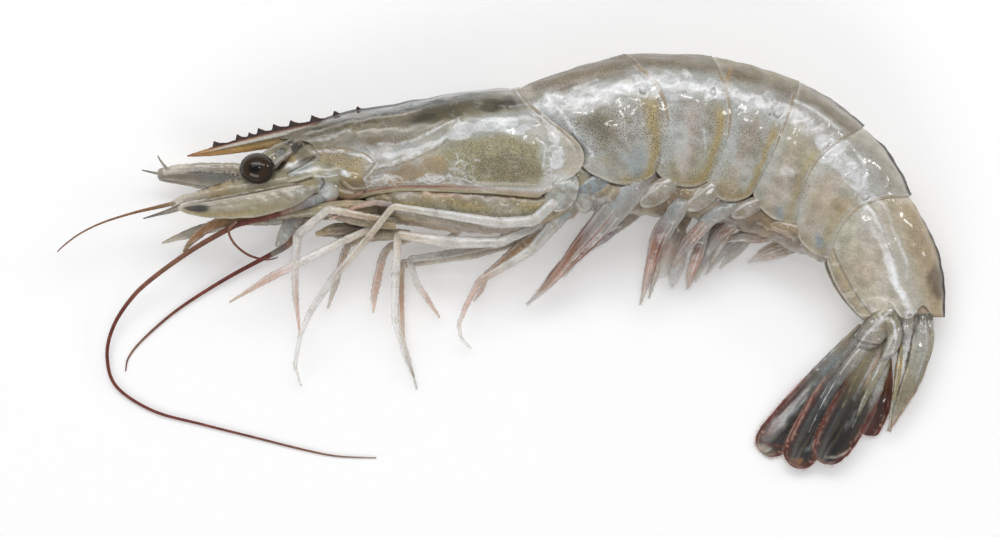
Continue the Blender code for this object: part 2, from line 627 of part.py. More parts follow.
def main():
    clear_scene()
    group = new_collection("whole_shrimp")
    cutters = new_collection("cutters")
    materials = make_materials()
    carapace_rear = make_carapace(group, cutters, materials)
    make_abdomen(carapace_rear, group, materials)
    make_keel_block("thorax_underside", THORAX_STATIONS, group, materials)
    make_keel_block("mouth_frame", tuple(reversed(MOUTH_STATIONS)), group, materials)
    make_head(group, materials)
    for name in BLADES:
        make_blade(name, group, materials)
    make_legs(group, materials)
    make_whips(group, materials)


main()
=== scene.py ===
# %% [markdown]
# # A raw shrimp, head on
#
# The frame holds a plain solid for each piece of one whole shrimp that lies on its right side.
# This notebook gives every piece its real surface. The shell plates are thin sheets wrapped over
# the body, the limbs are cylinders cut into rings and laid along a route, and colour is painted
# onto the points of each mesh, because a shrimp's pattern follows its own anatomy. Part of the
# paint is painted light: highlights on the wet shell and limbs, and shade in a few places.

import math

import bpy
import numpy as np
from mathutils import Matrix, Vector


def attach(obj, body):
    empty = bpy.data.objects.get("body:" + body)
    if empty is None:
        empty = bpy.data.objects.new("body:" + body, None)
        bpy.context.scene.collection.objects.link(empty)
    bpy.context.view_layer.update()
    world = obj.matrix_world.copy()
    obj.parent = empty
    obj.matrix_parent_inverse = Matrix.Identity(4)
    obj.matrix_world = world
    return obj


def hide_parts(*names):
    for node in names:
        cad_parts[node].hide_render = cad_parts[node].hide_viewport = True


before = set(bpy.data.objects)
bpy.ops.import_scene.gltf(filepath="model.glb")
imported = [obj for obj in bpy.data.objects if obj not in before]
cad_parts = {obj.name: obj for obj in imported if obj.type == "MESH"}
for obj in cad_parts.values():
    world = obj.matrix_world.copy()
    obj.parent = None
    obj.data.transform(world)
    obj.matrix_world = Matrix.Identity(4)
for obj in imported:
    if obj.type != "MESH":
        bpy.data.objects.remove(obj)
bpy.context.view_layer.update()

# %% [markdown]
# ## Working in millimetres
#
# Blender's unit is the metre, and a shrimp is small, so every length below is in millimetres and
# is turned into metres only when points are laid down. +X runs from head to tail, +Y from the
# legs to the back, and +Z from the right side that it lies on up to the left side.

# %% Starting and shaping a piece
MM = 0.001


def only(piece):
    """Makes a piece the one selected, active object."""
    bpy.ops.object.select_all(action="DESELECT")
    piece.select_set(True)
    bpy.context.view_layer.objects.active = piece


def start(name, add, **how):
    """Adds a primitive with nothing else selected, and names it."""
    bpy.ops.object.select_all(action="DESELECT")
    add(**how)
    piece = bpy.context.object
    piece.name = piece.data.name = name
    return piece


def points_of(piece, unit=MM):
    """The piece's points, one row each."""
    flat = np.empty(len(piece.data.vertices) * 3)
    piece.data.vertices.foreach_get("co", flat)
    return flat.reshape(-1, 3) / unit


def lay(piece, points):
    """Puts the piece's points at these places, none below the surface the shrimp lies on."""
    placed = np.array(points, float)
    placed[:, 2] = np.maximum(placed[:, 2], 0.0)
    piece.data.vertices.foreach_set("co", (placed * MM).ravel())
    piece.data.update()


def press(piece, height):
    """Moves each point along the surface's normal, outwards where height is positive."""
    flat = np.empty(len(piece.data.vertices) * 3)
    piece.data.vertex_normals.foreach_get("vector", flat)
    lay(piece, points_of(piece) + flat.reshape(-1, 3) * np.asarray(height)[:, None])


def modify(piece, kind, **settings):
    """Adds a modifier and applies it at once."""
    only(piece)
    modifier = piece.modifiers.new(kind.title(), kind)
    for name, value in settings.items():
        setattr(modifier, name, value)
    bpy.ops.object.modifier_apply(modifier=modifier.name)


print("one millimetre is", MM, "m")

# %% [markdown]
# ## Two starting shapes
#
# A shell plate starts as a flat grid: it has thickness later, and its rows of points are what
# bends over the back. A limb starts as a cylinder, whose long edges are selected and subdivided,
# so that it is a stack of rings. A curve with a bevel would also make a limb, but its section
# stays round, and a shrimp's limbs swell at every joint and flatten into blades.

# %% Sheets and stacks of rings
def pick_edges(piece, chosen):
    """Selects only the chosen edges and goes into edit mode."""
    only(piece)
    bpy.context.tool_settings.mesh_select_mode = (False, True, False)
    for parts in (piece.data.vertices, piece.data.edges, piece.data.polygons):
        parts.foreach_set("select", np.zeros(len(parts), bool))
    piece.data.edges.foreach_set("select", chosen)
    bpy.ops.object.mode_set(mode="EDIT")


def cut_lengthwise(piece, cuts):
    """Cuts every edge that runs along the cylinder."""
    height = points_of(piece, 1.0)[:, 2]
    ends = np.empty(len(piece.data.edges) * 2, int)
    piece.data.edges.foreach_get("vertices", ends)
    ends = ends.reshape(-1, 2)
    pick_edges(piece, np.abs(height[ends[:, 0]] - height[ends[:, 1]]) > 1e-5)
    bpy.ops.mesh.subdivide(number_cuts=cuts)
    bpy.ops.object.mode_set(mode="OBJECT")


def stack(name, rings, sides):
    """A closed cylinder cut into rings, with each point's ring number and its turn round it."""
    piece = start(name, bpy.ops.mesh.primitive_cylinder_add, vertices=sides, radius=1, depth=2)
    spans = rings - 1
    passes = next(n for n in range(1, 9) if spans % n == 0 and spans // n <= 100)
    cut_lengthwise(piece, spans // passes - 1)
    if passes > 1:
        cut_lengthwise(piece, passes - 1)
    flat = points_of(piece, 1.0)
    ring = np.rint((flat[:, 2] + 1) / 2 * spans).astype(int)
    return piece, ring, np.arctan2(flat[:, 1], flat[:, 0])


def sheet(name, along, left, right):
    """A flat grid, with each point's place along it from 0 to 1, and around the body: -1 at the
    right edge, 0 on the back and 1 at the left edge."""
    piece = start(name, bpy.ops.mesh.primitive_grid_add, x_subdivisions=along,
                  y_subdivisions=left + right, size=2)
    flat = points_of(piece, 1.0)
    row = np.rint((flat[:, 1] + 1) / 2 * (left + right))
    around = np.where(row <= left, (left - row) / left, (left - row) / right)
    return piece, (flat[:, 0] + 1) / 2, around


test, *_ = stack("test", 5, 8)
print("a stack of 5 rings of 8 has", len(test.data.vertices), "points")
bpy.data.objects.remove(test, do_unlink=True)

# %% [markdown]
# ## Curves
#
# The shrimp's outlines are smooth curves through a few points each. The legs are different: a
# leg is straight between its joints, so its route is a broken line whose corners are softened.

# %% Smooth and walked routes
def unit(vectors):
    return vectors / np.maximum(np.linalg.norm(vectors, axis=-1, keepdims=True), 1e-9)


def through(points, t):
    """Places at t, from 0 to 1, on a smooth curve through all the points."""
    points = np.asarray(points, float)
    chain = np.concatenate([2 * points[:1] - points[1:2], points, 2 * points[-1:] - points[-2:-1]])
    place = np.clip(t, 0, 1) * (len(points) - 1)
    i = np.minimum(place.astype(int), len(points) - 2)
    u = (place - i)[..., None]
    a, b, c, d = (chain[i + k] for k in range(4))
    return 0.5 * (2 * b + (c - a) * u + (2 * a - 5 * b + 4 * c - d) * u ** 2
                  + (3 * b - a - 3 * c + d) * u ** 3)


def evenly(route, count, soften=0.0):
    """Evenly spaced places along a broken line, whose corners are rounded over that length."""
    route = np.asarray(route, float)
    steps = np.linalg.norm(np.diff(route[:, :3], axis=0), axis=1)
    far = np.concatenate([[0.0], np.cumsum(steps)])
    fine = np.linspace(0.0, far[-1], 8 * count)
    line = np.stack([np.interp(fine, far, column) for column in route.T], axis=1)
    reach = int(soften / fine[1])
    if reach:
        brush = np.hanning(2 * reach + 3)[1:-1]
        before = 2 * line[:1] - line[reach:0:-1]
        after = 2 * line[-1:] - line[-2:-reach - 2:-1]
        padded = np.concatenate([before, line, after])
        line = np.stack([np.convolve(column, brush / brush.sum(), "valid")
                         for column in padded.T], axis=1)
    places = np.linspace(0, len(line) - 1, count)
    return np.stack([np.interp(places, np.arange(len(line)), column) for column in line.T], axis=1)


def flowing(points, count):
    """Evenly spaced places on the smooth curve through the points."""
    return evenly(through(points, np.linspace(0, 1, 12 * len(points))), count)


def ring_axes(centres, roll=0.0):
    """Forward, flat and thin directions of a limb at each ring. Roll, in degrees, turns the flat
    side out of the plane of the side view."""
    forward = unit(np.gradient(centres, axis=0))
    level = unit(np.stack([-forward[:, 1], forward[:, 0], np.zeros(len(forward))], axis=1))
    turn = np.radians(np.broadcast_to(roll, len(centres)))[:, None]
    across = level * np.cos(turn) + np.cross(forward, level) * np.sin(turn)
    return forward, across, np.cross(forward, across)


print("half way along a leg of two 4 mm stretches:", evenly([(0, 0, 0), (4, 0, 0), (4, 4, 0)], 9)[4])

# %% [markdown]
# ## Painting
#
# Colours sit on the points as an attribute, the way a fish painter glazes a cast: a ground that
# changes from the back to the edge, then patches, then fine lines. `stroke` and `patch` say how
# much a brush touches each point. `ripple` is an unevenness without any texture image: a few
# waves that run in all directions. It breaks the edges of patches and dents the surfaces.

# %% Brushes and unevenness
def ripple(points, size, seed):
    """Smooth unevenness of about that size in millimetres, mostly from -1 to 1."""
    chance = np.random.default_rng(seed)
    total = np.zeros(len(points))
    for _ in range(10):
        way = chance.normal(size=3)
        way *= math.tau / (size * chance.uniform(0.6, 1.7)) / np.linalg.norm(way)
        total += np.sin(points @ way + chance.uniform(0, math.tau))
    return total / 4.0


def crease(points, size, seed):
    """Sharp creases, 1 on a crease and 0 away from it, for shell that has wrinkled."""
    return np.clip(1 - 3.0 * np.abs(ripple(points, size, seed)), 0, 1)


def rise(value, low, high):
    """0 below low, 1 above high, and smooth between."""
    step = np.clip((value - low) / (high - low), 0, 1)
    return step * step * (3 - 2 * step)


def hump(value, centre, width):
    """1 at the centre and fading within about that width on both sides."""
    return np.exp(-((value - centre) / width) ** 2)


def distance(plane, route):
    """How far points in the side view are from a smooth curve through the route's points."""
    path = through(route, np.linspace(0, 1, 5 * len(route))) if len(route) > 2 else np.array(route)
    best = np.full(len(plane), 1e9)
    for a, b in zip(path[:-1], path[1:]):
        along = np.clip((plane - a) @ (b - a) / max((b - a) @ (b - a), 1e-9), 0, 1)
        best = np.minimum(best, np.linalg.norm(plane - a - along[:, None] * (b - a), axis=1))
    return best


def stroke(plane, route, width):
    """A soft line: 1 on the route."""
    return np.exp(-(distance(plane, route) / width) ** 2)


def patch(plane, centre, radii, turn=0.0, soft=0.25):
    """1 inside an ellipse, fading across its edge. Turn is in degrees."""
    angle = math.radians(turn)
    x, y = (plane - centre).T
    p = (x * math.cos(angle) + y * math.sin(angle)) / radii[0]
    q = (y * math.cos(angle) - x * math.sin(angle)) / radii[1]
    return 1 - rise(np.hypot(p, q), 1 - soft, 1 + soft)


def pools(plane, spots, soft):
    """1 inside any of the ellipses, which are given by centre, radii and turn."""
    return np.max([patch(plane, *spot, soft) for spot in spots], axis=0)


def torn(mask, points, size, seed, cut=0.5):
    """The same mask with a crisp, ragged edge where it passes the cut."""
    return rise(mask + 0.3 * ripple(points, size, seed), cut, cut + 0.14)


def dab(tint, colour, mask):
    """Lays a colour of the palette over the tint where the mask is."""
    tint += (np.array(PALETTE[colour]) - tint) * np.clip(mask, 0, 1)[:, None]


def glaze(tint, **masks):
    """Dabs one colour after another, each named with its mask."""
    for colour, mask in masks.items():
        dab(tint, colour, mask)


def ground(stops, names, t):
    """A ground colour that runs through the named colours as t passes the stops."""
    table = np.array([PALETTE[name] for name in names.split()])
    return np.stack([np.interp(t, stops, column) for column in table.T], axis=1)


def graded(names, t):
    """A ground colour that runs evenly through the named colours as t goes from 0 to 1."""
    return ground(np.linspace(0, 1, len(names.split())), names, t)


def wandering(points, size, seed, reach):
    """A small shift in the side view for each point, so that no patch has a drawn outline."""
    return reach * np.column_stack([ripple(points, size, seed), ripple(points, size, seed + 1)])


def store(piece, tint, **masks):
    """Keeps the painted colour and the masks on the piece's points for its finish to read. The
    colour gets a little unevenness of its own, as nothing that grew is one even colour."""
    points = points_of(piece)
    uneven = 1 + 0.07 * ripple(points, 0.45, 1) + 0.07 * ripple(points, 2.6, 2)
    paint = piece.data.attributes.new("tint", "FLOAT_COLOR", "POINT")
    colour = np.ones((len(tint), 4))
    colour[:, :3] = np.clip(tint * uneven[:, None], 0.0, 1.0)
    paint.data.foreach_set("color", colour.ravel())
    for name, mask in masks.items():
        layer = piece.data.attributes.new(name, "FLOAT", "POINT")
        layer.data.foreach_set("value", np.clip(mask, 0, 1) * np.ones(len(tint)))


# The near-white (0.86, 0.87, 0.89) is used only for painted highlights and glints.
PALETTE = {
    "slate": (0.14, 0.14, 0.13), "bark": (0.1, 0.07, 0.045), "umber": (0.24, 0.18, 0.11),
    "dark_olive": (0.1, 0.085, 0.05), "olive": (0.24, 0.21, 0.14), "moss": (0.31, 0.28, 0.19),
    "grey": (0.35, 0.32, 0.27), "stone": (0.44, 0.41, 0.35), "sand": (0.42, 0.36, 0.26),
    "ochre": (0.38, 0.29, 0.15), "amber": (0.34, 0.23, 0.11), "cream": (0.58, 0.53, 0.44),
    "mist": (0.42, 0.44, 0.43), "pearl": (0.6, 0.6, 0.6), "white": (0.74, 0.75, 0.76),
    "rose": (0.5, 0.37, 0.3), "brick": (0.36, 0.17, 0.1), "maroon": (0.2, 0.06, 0.04),
    "blue": (0.28, 0.33, 0.35), "loam": (0.23, 0.2, 0.15), "haze": (0.4, 0.39, 0.36),
    "reed": (0.38, 0.35, 0.25), "dew": (0.42, 0.43, 0.4), "fern": (0.34, 0.31, 0.19),
    "frost": (0.52, 0.54, 0.53), "ivory": (0.54, 0.49, 0.4), "lilac": (0.34, 0.3, 0.3),
    "coral": (0.56, 0.33, 0.25), "blood": (0.26, 0.055, 0.035), "rust": (0.4, 0.2, 0.08),
    "ink": (0.025, 0.022, 0.02), "coal": (0.05, 0.052, 0.055), "tan": (0.36, 0.28, 0.18),
    "smoke": (0.25, 0.25, 0.23), "shade": (0.2, 0.15, 0.1), "night": (0.004, 0.003, 0.003),
    "gold": (0.42, 0.32, 0.14), "wine": (0.1, 0.022, 0.018), "shine": (0.86, 0.87, 0.89),
    "milk": (0.66, 0.65, 0.61), "ember": (0.36, 0.12, 0.05), "flame": (0.46, 0.25, 0.07),
    "honey": (0.4, 0.26, 0.09), "liver": (0.36, 0.29, 0.19), "veal": (0.38, 0.3, 0.21),
    "ham": (0.46, 0.38, 0.3), "bacon": (0.46, 0.38, 0.28), "pupil": (0.002, 0.001, 0.001),
    "pitch": (0.003, 0.002, 0.002), "iris": (0.04, 0.022, 0.01), "soot": (0.03, 0.017, 0.008),
    "jet": (0.012, 0.008, 0.005), "collar": (0.05, 0.035, 0.022),
}
print(len(PALETTE), "colours on the palette")

# %% [markdown]
# ## Finishes
#
# Shader maths reads like ordinary maths here. A `Wire` is a node's output that can be added and
# multiplied, each time adding a Math node, and a `Recipe` makes every other node in one way.
# The skin is wet: a low roughness with a clear coat, fine bumps that break up the reflections,
# brown dots in the shell from a Voronoi pattern, and a little light that goes in and comes out.

# %% Shader helpers
def plug(tree, socket, value):
    """Links a wire to a socket, or sets the socket to a plain value."""
    if isinstance(value, Wire):
        tree.links.new(value.socket, socket)
    else:
        socket.default_value = value


class Wire:
    """A node's output that can be used in sums."""

    def __init__(self, tree, socket):
        self.tree = tree
        self.socket = socket

    def maths(self, operation, first, second, hold=False):
        node = self.tree.nodes.new("ShaderNodeMath")
        node.operation = operation
        node.use_clamp = hold
        plug(self.tree, node.inputs[0], first)
        plug(self.tree, node.inputs[1], second)
        return Wire(self.tree, node.outputs[0])

    def __add__(self, other):
        return self.maths("ADD", self, other)

    def __sub__(self, other):
        return self.maths("SUBTRACT", self, other)

    def __rsub__(self, other):
        return self.maths("SUBTRACT", other, self)

    def __mul__(self, other):
        return self.maths("MULTIPLY", self, other)

    __radd__ = __add__
    __rmul__ = __mul__

    def held(self):
        """The same value, kept between 0 and 1."""
        return self.maths("ADD", self, 0.0, hold=True)


class Recipe:
    """A material being mixed."""

    def __init__(self, name):
        self.material = bpy.data.materials.new(name)
        self.material.use_nodes = True
        self.tree = self.material.node_tree
        self.shader = self.tree.nodes["Principled BSDF"]

    def node(self, kind, settings=None, inputs=None, output=0):
        """Adds a node: its settings first, then its sockets' values or wires."""
        node = self.tree.nodes.new(kind)
        for name, value in (settings or {}).items():
            setattr(node, name, value)
        for name, value in (inputs or {}).items():
            plug(self.tree, node.inputs[name], value)
        return Wire(self.tree, node.outputs[output])

    def attribute(self, name, output):
        return self.node("ShaderNodeAttribute", {"attribute_name": name}, output=output)

    def noise(self, place, scale, detail=3.0, twist=0.0):
        return self.node("ShaderNodeTexNoise", inputs={
            "Vector": place, "Scale": scale, "Detail": detail, "Distortion": twist})

    def scaled(self, colour, factor):
        return self.node("ShaderNodeVectorMath", {"operation": "SCALE"},
                         {0: colour, "Scale": factor})

    def mixed(self, factor, under, over):
        return self.node("ShaderNodeMix", {"data_type": "RGBA"},
                         {0: factor, 6: under, 7: over}, output=2)

    def bumped(self, height, depth):
        """A normal from a height between 0 and 1 that stands for depth in millimetres."""
        return self.node("ShaderNodeBump", inputs={
            "Strength": 1.0, "Distance": depth * MM, "Height": height})

    def set(self, sockets):
        for name, value in sockets.items():
            plug(self.tree, self.shader.inputs[name], value)
        return self.material


sample = Recipe("sample")
doubled = 2.0 * sample.node("ShaderNodeValue")
print("twice a value is worked out by a node of the kind", doubled.socket.node.bl_idname)
bpy.data.materials.remove(sample.material)

# %% The wet skin, and handing over a piece that wears it
def wet_skin(name, rough=0.2, coat=0.8, dots=4600.0, mottle=0.26, depth=0.03, scatter=0.0,
             glow=(1.0, 0.6, 0.4)):
    """Wet shell or flesh in the painted tint, with dots where the speck mask is and more
    wrinkles where the wet mask is."""
    recipe = Recipe(name)
    place = recipe.node("ShaderNodeTexCoord", output="Object")
    tint = recipe.attribute("tint", "Color")
    speck = recipe.attribute("speck", "Fac")
    wet = recipe.attribute("wet", "Fac")
    clear = recipe.attribute("clear", "Fac")
    dull = recipe.attribute("dull", "Fac")
    cloud = recipe.noise(place, 520.0, 4.0)
    grain = recipe.noise(place, 3000.0, 3.0)
    wrinkle = recipe.noise(place, 1100.0, 3.0, 1.2)
    cells = recipe.node("ShaderNodeTexVoronoi", inputs={"Vector": place, "Scale": dots})
    dot = ((0.14 + 0.28 * speck - cells) * 9.0).held() * speck * (0.3 + 1.0 * cloud)
    shade = 1.0 + mottle * 1.4 * (cloud - 0.5) + 2.4 * mottle * (grain - 0.5)
    colour = recipe.mixed((0.85 * dot).held(), recipe.scaled(tint, shade), (0.04, 0.03, 0.018, 1.0))
    height = 0.3 * grain + wrinkle * (0.2 + 1.5 * wet)
    return recipe.set({
        "Base Color": colour,
        "Roughness": (rough + 0.35 * dull + 0.12 * (cloud - 0.5)).held(),
        "Coat Weight": (coat - coat * dull + 0.4 * (wrinkle - 0.5)).held(),
        "Coat Roughness": 0.04,
        "Alpha": 1.0 - clear,
        "Normal": recipe.bumped(height, depth),
        "Subsurface Weight": scatter,
        "Subsurface Radius": glow,
        "Subsurface Scale": 0.8 * MM,
        "IOR": 1.42,
    })


def hand_over(piece, finish, node=None):
    """Shades a piece smooth, gives it its finish, and puts it on the frame's body."""
    only(piece)
    bpy.ops.object.shade_smooth()
    piece.data.materials.clear()
    piece.data.materials.append(finish)
    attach(piece, "root")
    if node:
        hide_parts(node)
    return piece


def dress(piece, finish, slot, node, tint, height=None, **masks):
    """Presses the relief into a painted piece, keeps its paint and masks, and hands it over."""
    if height is not None:
        press(piece, height)
    store(piece, tint, **masks)
    return hand_over(piece, finish, node)


SHELL = wet_skin("wet_shell")
FLESH = wet_skin("wet_flesh", rough=0.3, coat=0.6, dots=2200.0, mottle=0.34, depth=0.05, scatter=0.2)
print("materials:", SHELL.name, FLESH.name)

# %% [markdown]
# ## Floor, light and camera
#
# A food studio's set: a white floor that the light burns out to pure white, with a soft shadow
# towards the legs. Long soft boxes hang over the back, because a wet rounded back shows them as
# bright bands along the upper flank. Two small lamps add the hard glints that tell wet
# from dry. The camera looks straight down.

# %% Stage
VIEW_CENTRE = Vector((0.0, -1.2, 8.0)) * MM
CAMERA_HEIGHT = 800.0


def soft_box(name, place, size, radiance):
    """A rectangular light, in millimetres, that faces the shrimp. Power follows from its size."""
    bpy.ops.object.select_all(action="DESELECT")
    spot = Vector(place) * MM
    bpy.ops.object.light_add(type="AREA", location=spot)
    lamp = bpy.context.object
    lamp.name = name
    lamp.rotation_euler = (VIEW_CENTRE - spot).to_track_quat("-Z", "Y").to_euler()
    lamp.data.shape = "RECTANGLE"
    lamp.data.size = size[0] * MM
    lamp.data.size_y = size[1] * MM
    lamp.data.energy = radiance * math.pi * size[0] * size[1] * MM * MM
    return lamp


floor = start("floor", bpy.ops.mesh.primitive_plane_add, size=8.0)
floor_paint = Recipe("white_floor").set({
    "Base Color": (0.86, 0.86, 0.865, 1.0), "Roughness": 0.9,
    "Emission Color": (1.0, 1.0, 1.0, 1.0), "Emission Strength": 0.22})
floor.data.materials.append(floor_paint)

soft_box("key_box", (-150.0, 520.0, 760.0), (900.0, 600.0), 1.0)
soft_box("back_strip", (60.0, 500.0, 690.0), (1200.0, 230.0), 3.1)
soft_box("leg_strip", (-250.0, -640.0, 460.0), (700.0, 300.0), 2.6)
soft_box("glint_above", (130.0, 110.0, 790.0), (110.0, 80.0), 11.0)
soft_box("glint_beside", (740.0, 300.0, 360.0), (160.0, 90.0), 14.0)

world = bpy.data.worlds.new("white_room")
world.use_nodes = True
world.node_tree.nodes["Background"].inputs["Color"].default_value = (1.0, 1.0, 1.0, 1.0)
world.node_tree.nodes["Background"].inputs["Strength"].default_value = 0.34
bpy.context.scene.world = world
bpy.context.scene.view_settings.view_transform = "Standard"

bpy.ops.object.camera_add(location=VIEW_CENTRE + Vector((0.0, 0.0, CAMERA_HEIGHT * MM)))
camera = bpy.context.object
camera.data.lens = 180.0
camera.data.sensor_width = 36.0
camera.data.clip_start = 0.01
bpy.context.scene.camera = camera
print("the view is", 36.0 / 180.0 * CAMERA_HEIGHT, "mm wide at the height of the shrimp's middle")

# %% [markdown]
# ## The body's measures
#
# The shell plates have to sit where the solids are, so the same few measures are used. The
# shield runs between five stations, each with a point on the back, one on the lower rim, and
# half the width. The tail's joint lines are walked along the back: a step and a heading, then
# how deep the line goes, how it leans, how far it bows, and half the body's width there.

# %% Stations and joint lines
HEAD_MIDDLE = 7.95
SHIELD_BACK = ((-33.0, 20.6), (-25.6, 23.2), (-16.0, 25.0), (-6.4, 26.9), (3.2, 27.8))
SHIELD_RIM = ((-22.6, 9.9), (-17.0, 11.0), (-9.5, 11.0), (-0.5, 10.6), (9.5, 9.6))
SHIELD_HALF_WIDTH = ((4.3,), (5.9,), (7.2,), (8.0,), (8.2,))
FRONT_BOW, REAR_BOW, REAR_SKEW = 1.2, 6.0, 1.8
TAIL_JOINTS = (
    (16.8, 18.0, 19.6, -73.4, 4.2, 7.8),
    (14.1, -0.8, 20.2, -91.4, 3.3, 7.6),
    (14.6, -15.1, 19.3, -111.5, 0.5, 7.3),
    (12.7, -34.7, 18.9, -124.2, -3.0, 6.8),
    (13.3, -55.1, 16.8, -141.8, -3.5, 6.0),
    (20.7, -73.8, 12.5, -177.3, 0.0, 4.2),
)
BACK_ARCH = (0.3, 0.3, 0.3, 0.5, 1.0, 1.8)
PLATE_DROP = (2.6, 1.6, 2.4, 1.7, 1.5, 1.2)
WIDEST_AT = 0.42
SHIELD_RIM_WIDTH = 0.74
PLATE_EDGE_WIDTH = 0.68
REST_FLAT = 0.3
SHELL_THICKNESS = 0.18


def side_line(back, belly, bow, skew, s):
    """Places in the side view at s, from 0 on the back to 1 at the belly, on lines that bow
    towards the tail."""
    back, belly = np.asarray(back, float), np.asarray(belly, float)
    reach = belly - back
    tailward = unit(np.stack([-reach[..., 1], reach[..., 0]], axis=-1))
    push = bow * np.sin(np.pi * np.clip(s, 0, 1) ** skew)
    return back + reach * s[..., None] + tailward * push[..., None]


def section(around, edge):
    """How far down the flank a place around the body is, and how wide the body is there."""
    upper = np.clip(np.abs(around) * 2, 0, 1) * math.pi / 2
    lower = np.clip(np.abs(around) * 2 - 1, 0, None)
    down = WIDEST_AT * (1 - np.cos(upper)) + (1 - WIDEST_AT) * lower
    return down, np.sign(around) * (np.sin(upper) - (1 - edge) * lower ** 2)


def shield_side(u, s):
    bow = FRONT_BOW * (1 - u) + REAR_BOW * u ** 3
    return side_line(through(SHIELD_BACK, u), through(SHIELD_RIM, u), bow,
                     1 + (REAR_SKEW - 1) * u, s)


def walk_tail():
    """The tail's joint lines: back point, belly point, bow and half width."""
    lines = []
    x, y = SHIELD_BACK[-1]
    for step, heading, depth, lean, bow, half_width in TAIL_JOINTS:
        x += step * math.cos(math.radians(heading))
        y += step * math.sin(math.radians(heading))
        belly = (x + depth * math.cos(math.radians(lean)), y + depth * math.sin(math.radians(lean)))
        lines.append(((x, y), belly, bow, half_width))
    return lines


JOINTS = walk_tail()


def joint_side(index, s):
    """A joint line of the tail; line 0 is the rear margin of the shield."""
    if index == 0:
        return side_line(SHIELD_BACK[-1], SHIELD_RIM[-1], REAR_BOW, REAR_SKEW, 0.8 * s)
    back, belly, bow, _ = JOINTS[index - 1]
    return side_line(back, belly, bow, 1.0, s)


def joint_half_width(index):
    return SHIELD_HALF_WIDTH[-1][0] - 0.2 if index == 0 else JOINTS[index - 1][3]


def ring_side(index, t, s, drop_power=1.0):
    """Places in the side view on ring 0 to 5, with its arched back and hanging lobes."""
    front, rear = joint_side(index, s), joint_side(index + 1, s)
    chord = joint_side(index + 1, np.zeros(1))[0] - joint_side(index, np.zeros(1))[0]
    outward = np.array([-chord[1], chord[0]]) / np.linalg.norm(chord)
    swell = np.sin(np.pi * np.clip(t, 0, 1))
    lift = BACK_ARCH[index] * swell * (1 - s) ** 2
    lift = lift - PLATE_DROP[index] * swell ** drop_power * s ** 4
    return front + (rear - front) * t[..., None] + outward * lift[..., None]


print("the tail's last joint is at", [round(v, 1) for v in JOINTS[-1][0]], "mm")

# %% [markdown]
# ## The shield
#
# The shield covers head and chest in one piece. A real one is a saddle of thin shell with grooves
# that mark where muscles hold it. It could be sculpted, but a sheet wrapped over the stations
# keeps its fit with the frame exact. Grooves, ridges and wrinkles are pressed into the sheet
# first, and Solidify then gives the shell its thickness, so the wrinkles show on both sides.

# %% The shield's colours and lines
# Ground colours at seven depths from back to rim, for places along the shield.
SHIELD_DEPTHS = (0.0, 0.12, 0.28, 0.45, 0.65, 0.85, 1.0)
SHIELD_GROUND = (
    (0.0, "olive loam moss grey sand umber umber"),
    (0.2, "loam loam loam haze haze grey umber"),
    (0.4, "slate loam moss stone stone grey umber"),
    (0.6, "slate dark_olive olive dew fern moss sand"),
    (0.8, "slate dark_olive moss frost fern moss sand"),
    (1.0, "moss grey stone cream stone cream cream"),
)
# Patches: colour, strength, dots, centre, radii, turn. The pale patches without dots (mist, pearl,
# blue and dew) are painted highlights; the milk one at the lower rear corner is the shell's own
# pale colour there.
SHIELD_PATCHES = (
    ("dark_olive", 0.85, 0.5, (-10.4, 23.0), (5.2, 1.3), 12),
    ("ink", 0.55, 0.5, (-12.0, 22.7), (2.6, 0.6), 12),
    ("dark_olive", 0.9, 0.6, (-0.8, 24.9), (3.6, 1.1), 9),
    ("ink", 0.5, 0.3, (0.2, 25.0), (1.6, 0.5), 9),
    ("loam", 0.6, 0.8, (-17.2, 20.4), (5.0, 1.5), 12),
    ("umber", 0.5, 0.6, (-20.6, 19.4), (2.2, 0.8), 12),
    ("mist", 0.7, 0.0, (0.4, 21.9), (7.0, 1.7), 7),
    ("haze", 0.6, 0.4, (-5.2, 19.2), (2.6, 1.2), 40),
    ("fern", 0.95, 1.0, (0.0, 15.9), (8.4, 4.2), -3),
    ("haze", 0.5, 0.6, (-4.6, 12.0), (3.6, 0.9), -8),
    ("olive", 0.65, 1.0, (0.8, 15.0), (4.6, 2.0), -8),
    ("umber", 0.35, 1.0, (2.6, 13.4), (3.4, 0.9), 6),
    ("amber", 0.55, 0.4, (-10.6, 14.8), (2.6, 1.5), 20),
    ("amber", 0.6, 0.1, (-15.6, 13.6), (3.2, 1.5), 14),
    ("gold", 0.55, 1.0, (-26.0, 15.4), (4.6, 2.4), 0),
    ("ochre", 0.5, 0.5, (-24.2, 13.6), (2.2, 1.2), 10),
    ("pearl", 0.6, 0.0, (-18.4, 17.2), (3.4, 1.0), 4),
    ("blue", 0.5, 0.0, (-22.6, 16.9), (2.0, 0.5), 8),
    ("mist", 0.6, 0.0, (-15.0, 18.2), (2.6, 0.7), 8),
    ("milk", 0.8, 0.0, (9.4, 11.4), (3.4, 2.6), 0),
    ("fern", 0.5, 0.9, (-22.0, 21.6), (5.0, 0.9), 14),
    ("olive", 0.6, 0.8, (-28.6, 18.4), (3.0, 0.9), 8),
    ("dew", 0.7, 0.0, (8.2, 17.0), (2.2, 3.4), 0),
)
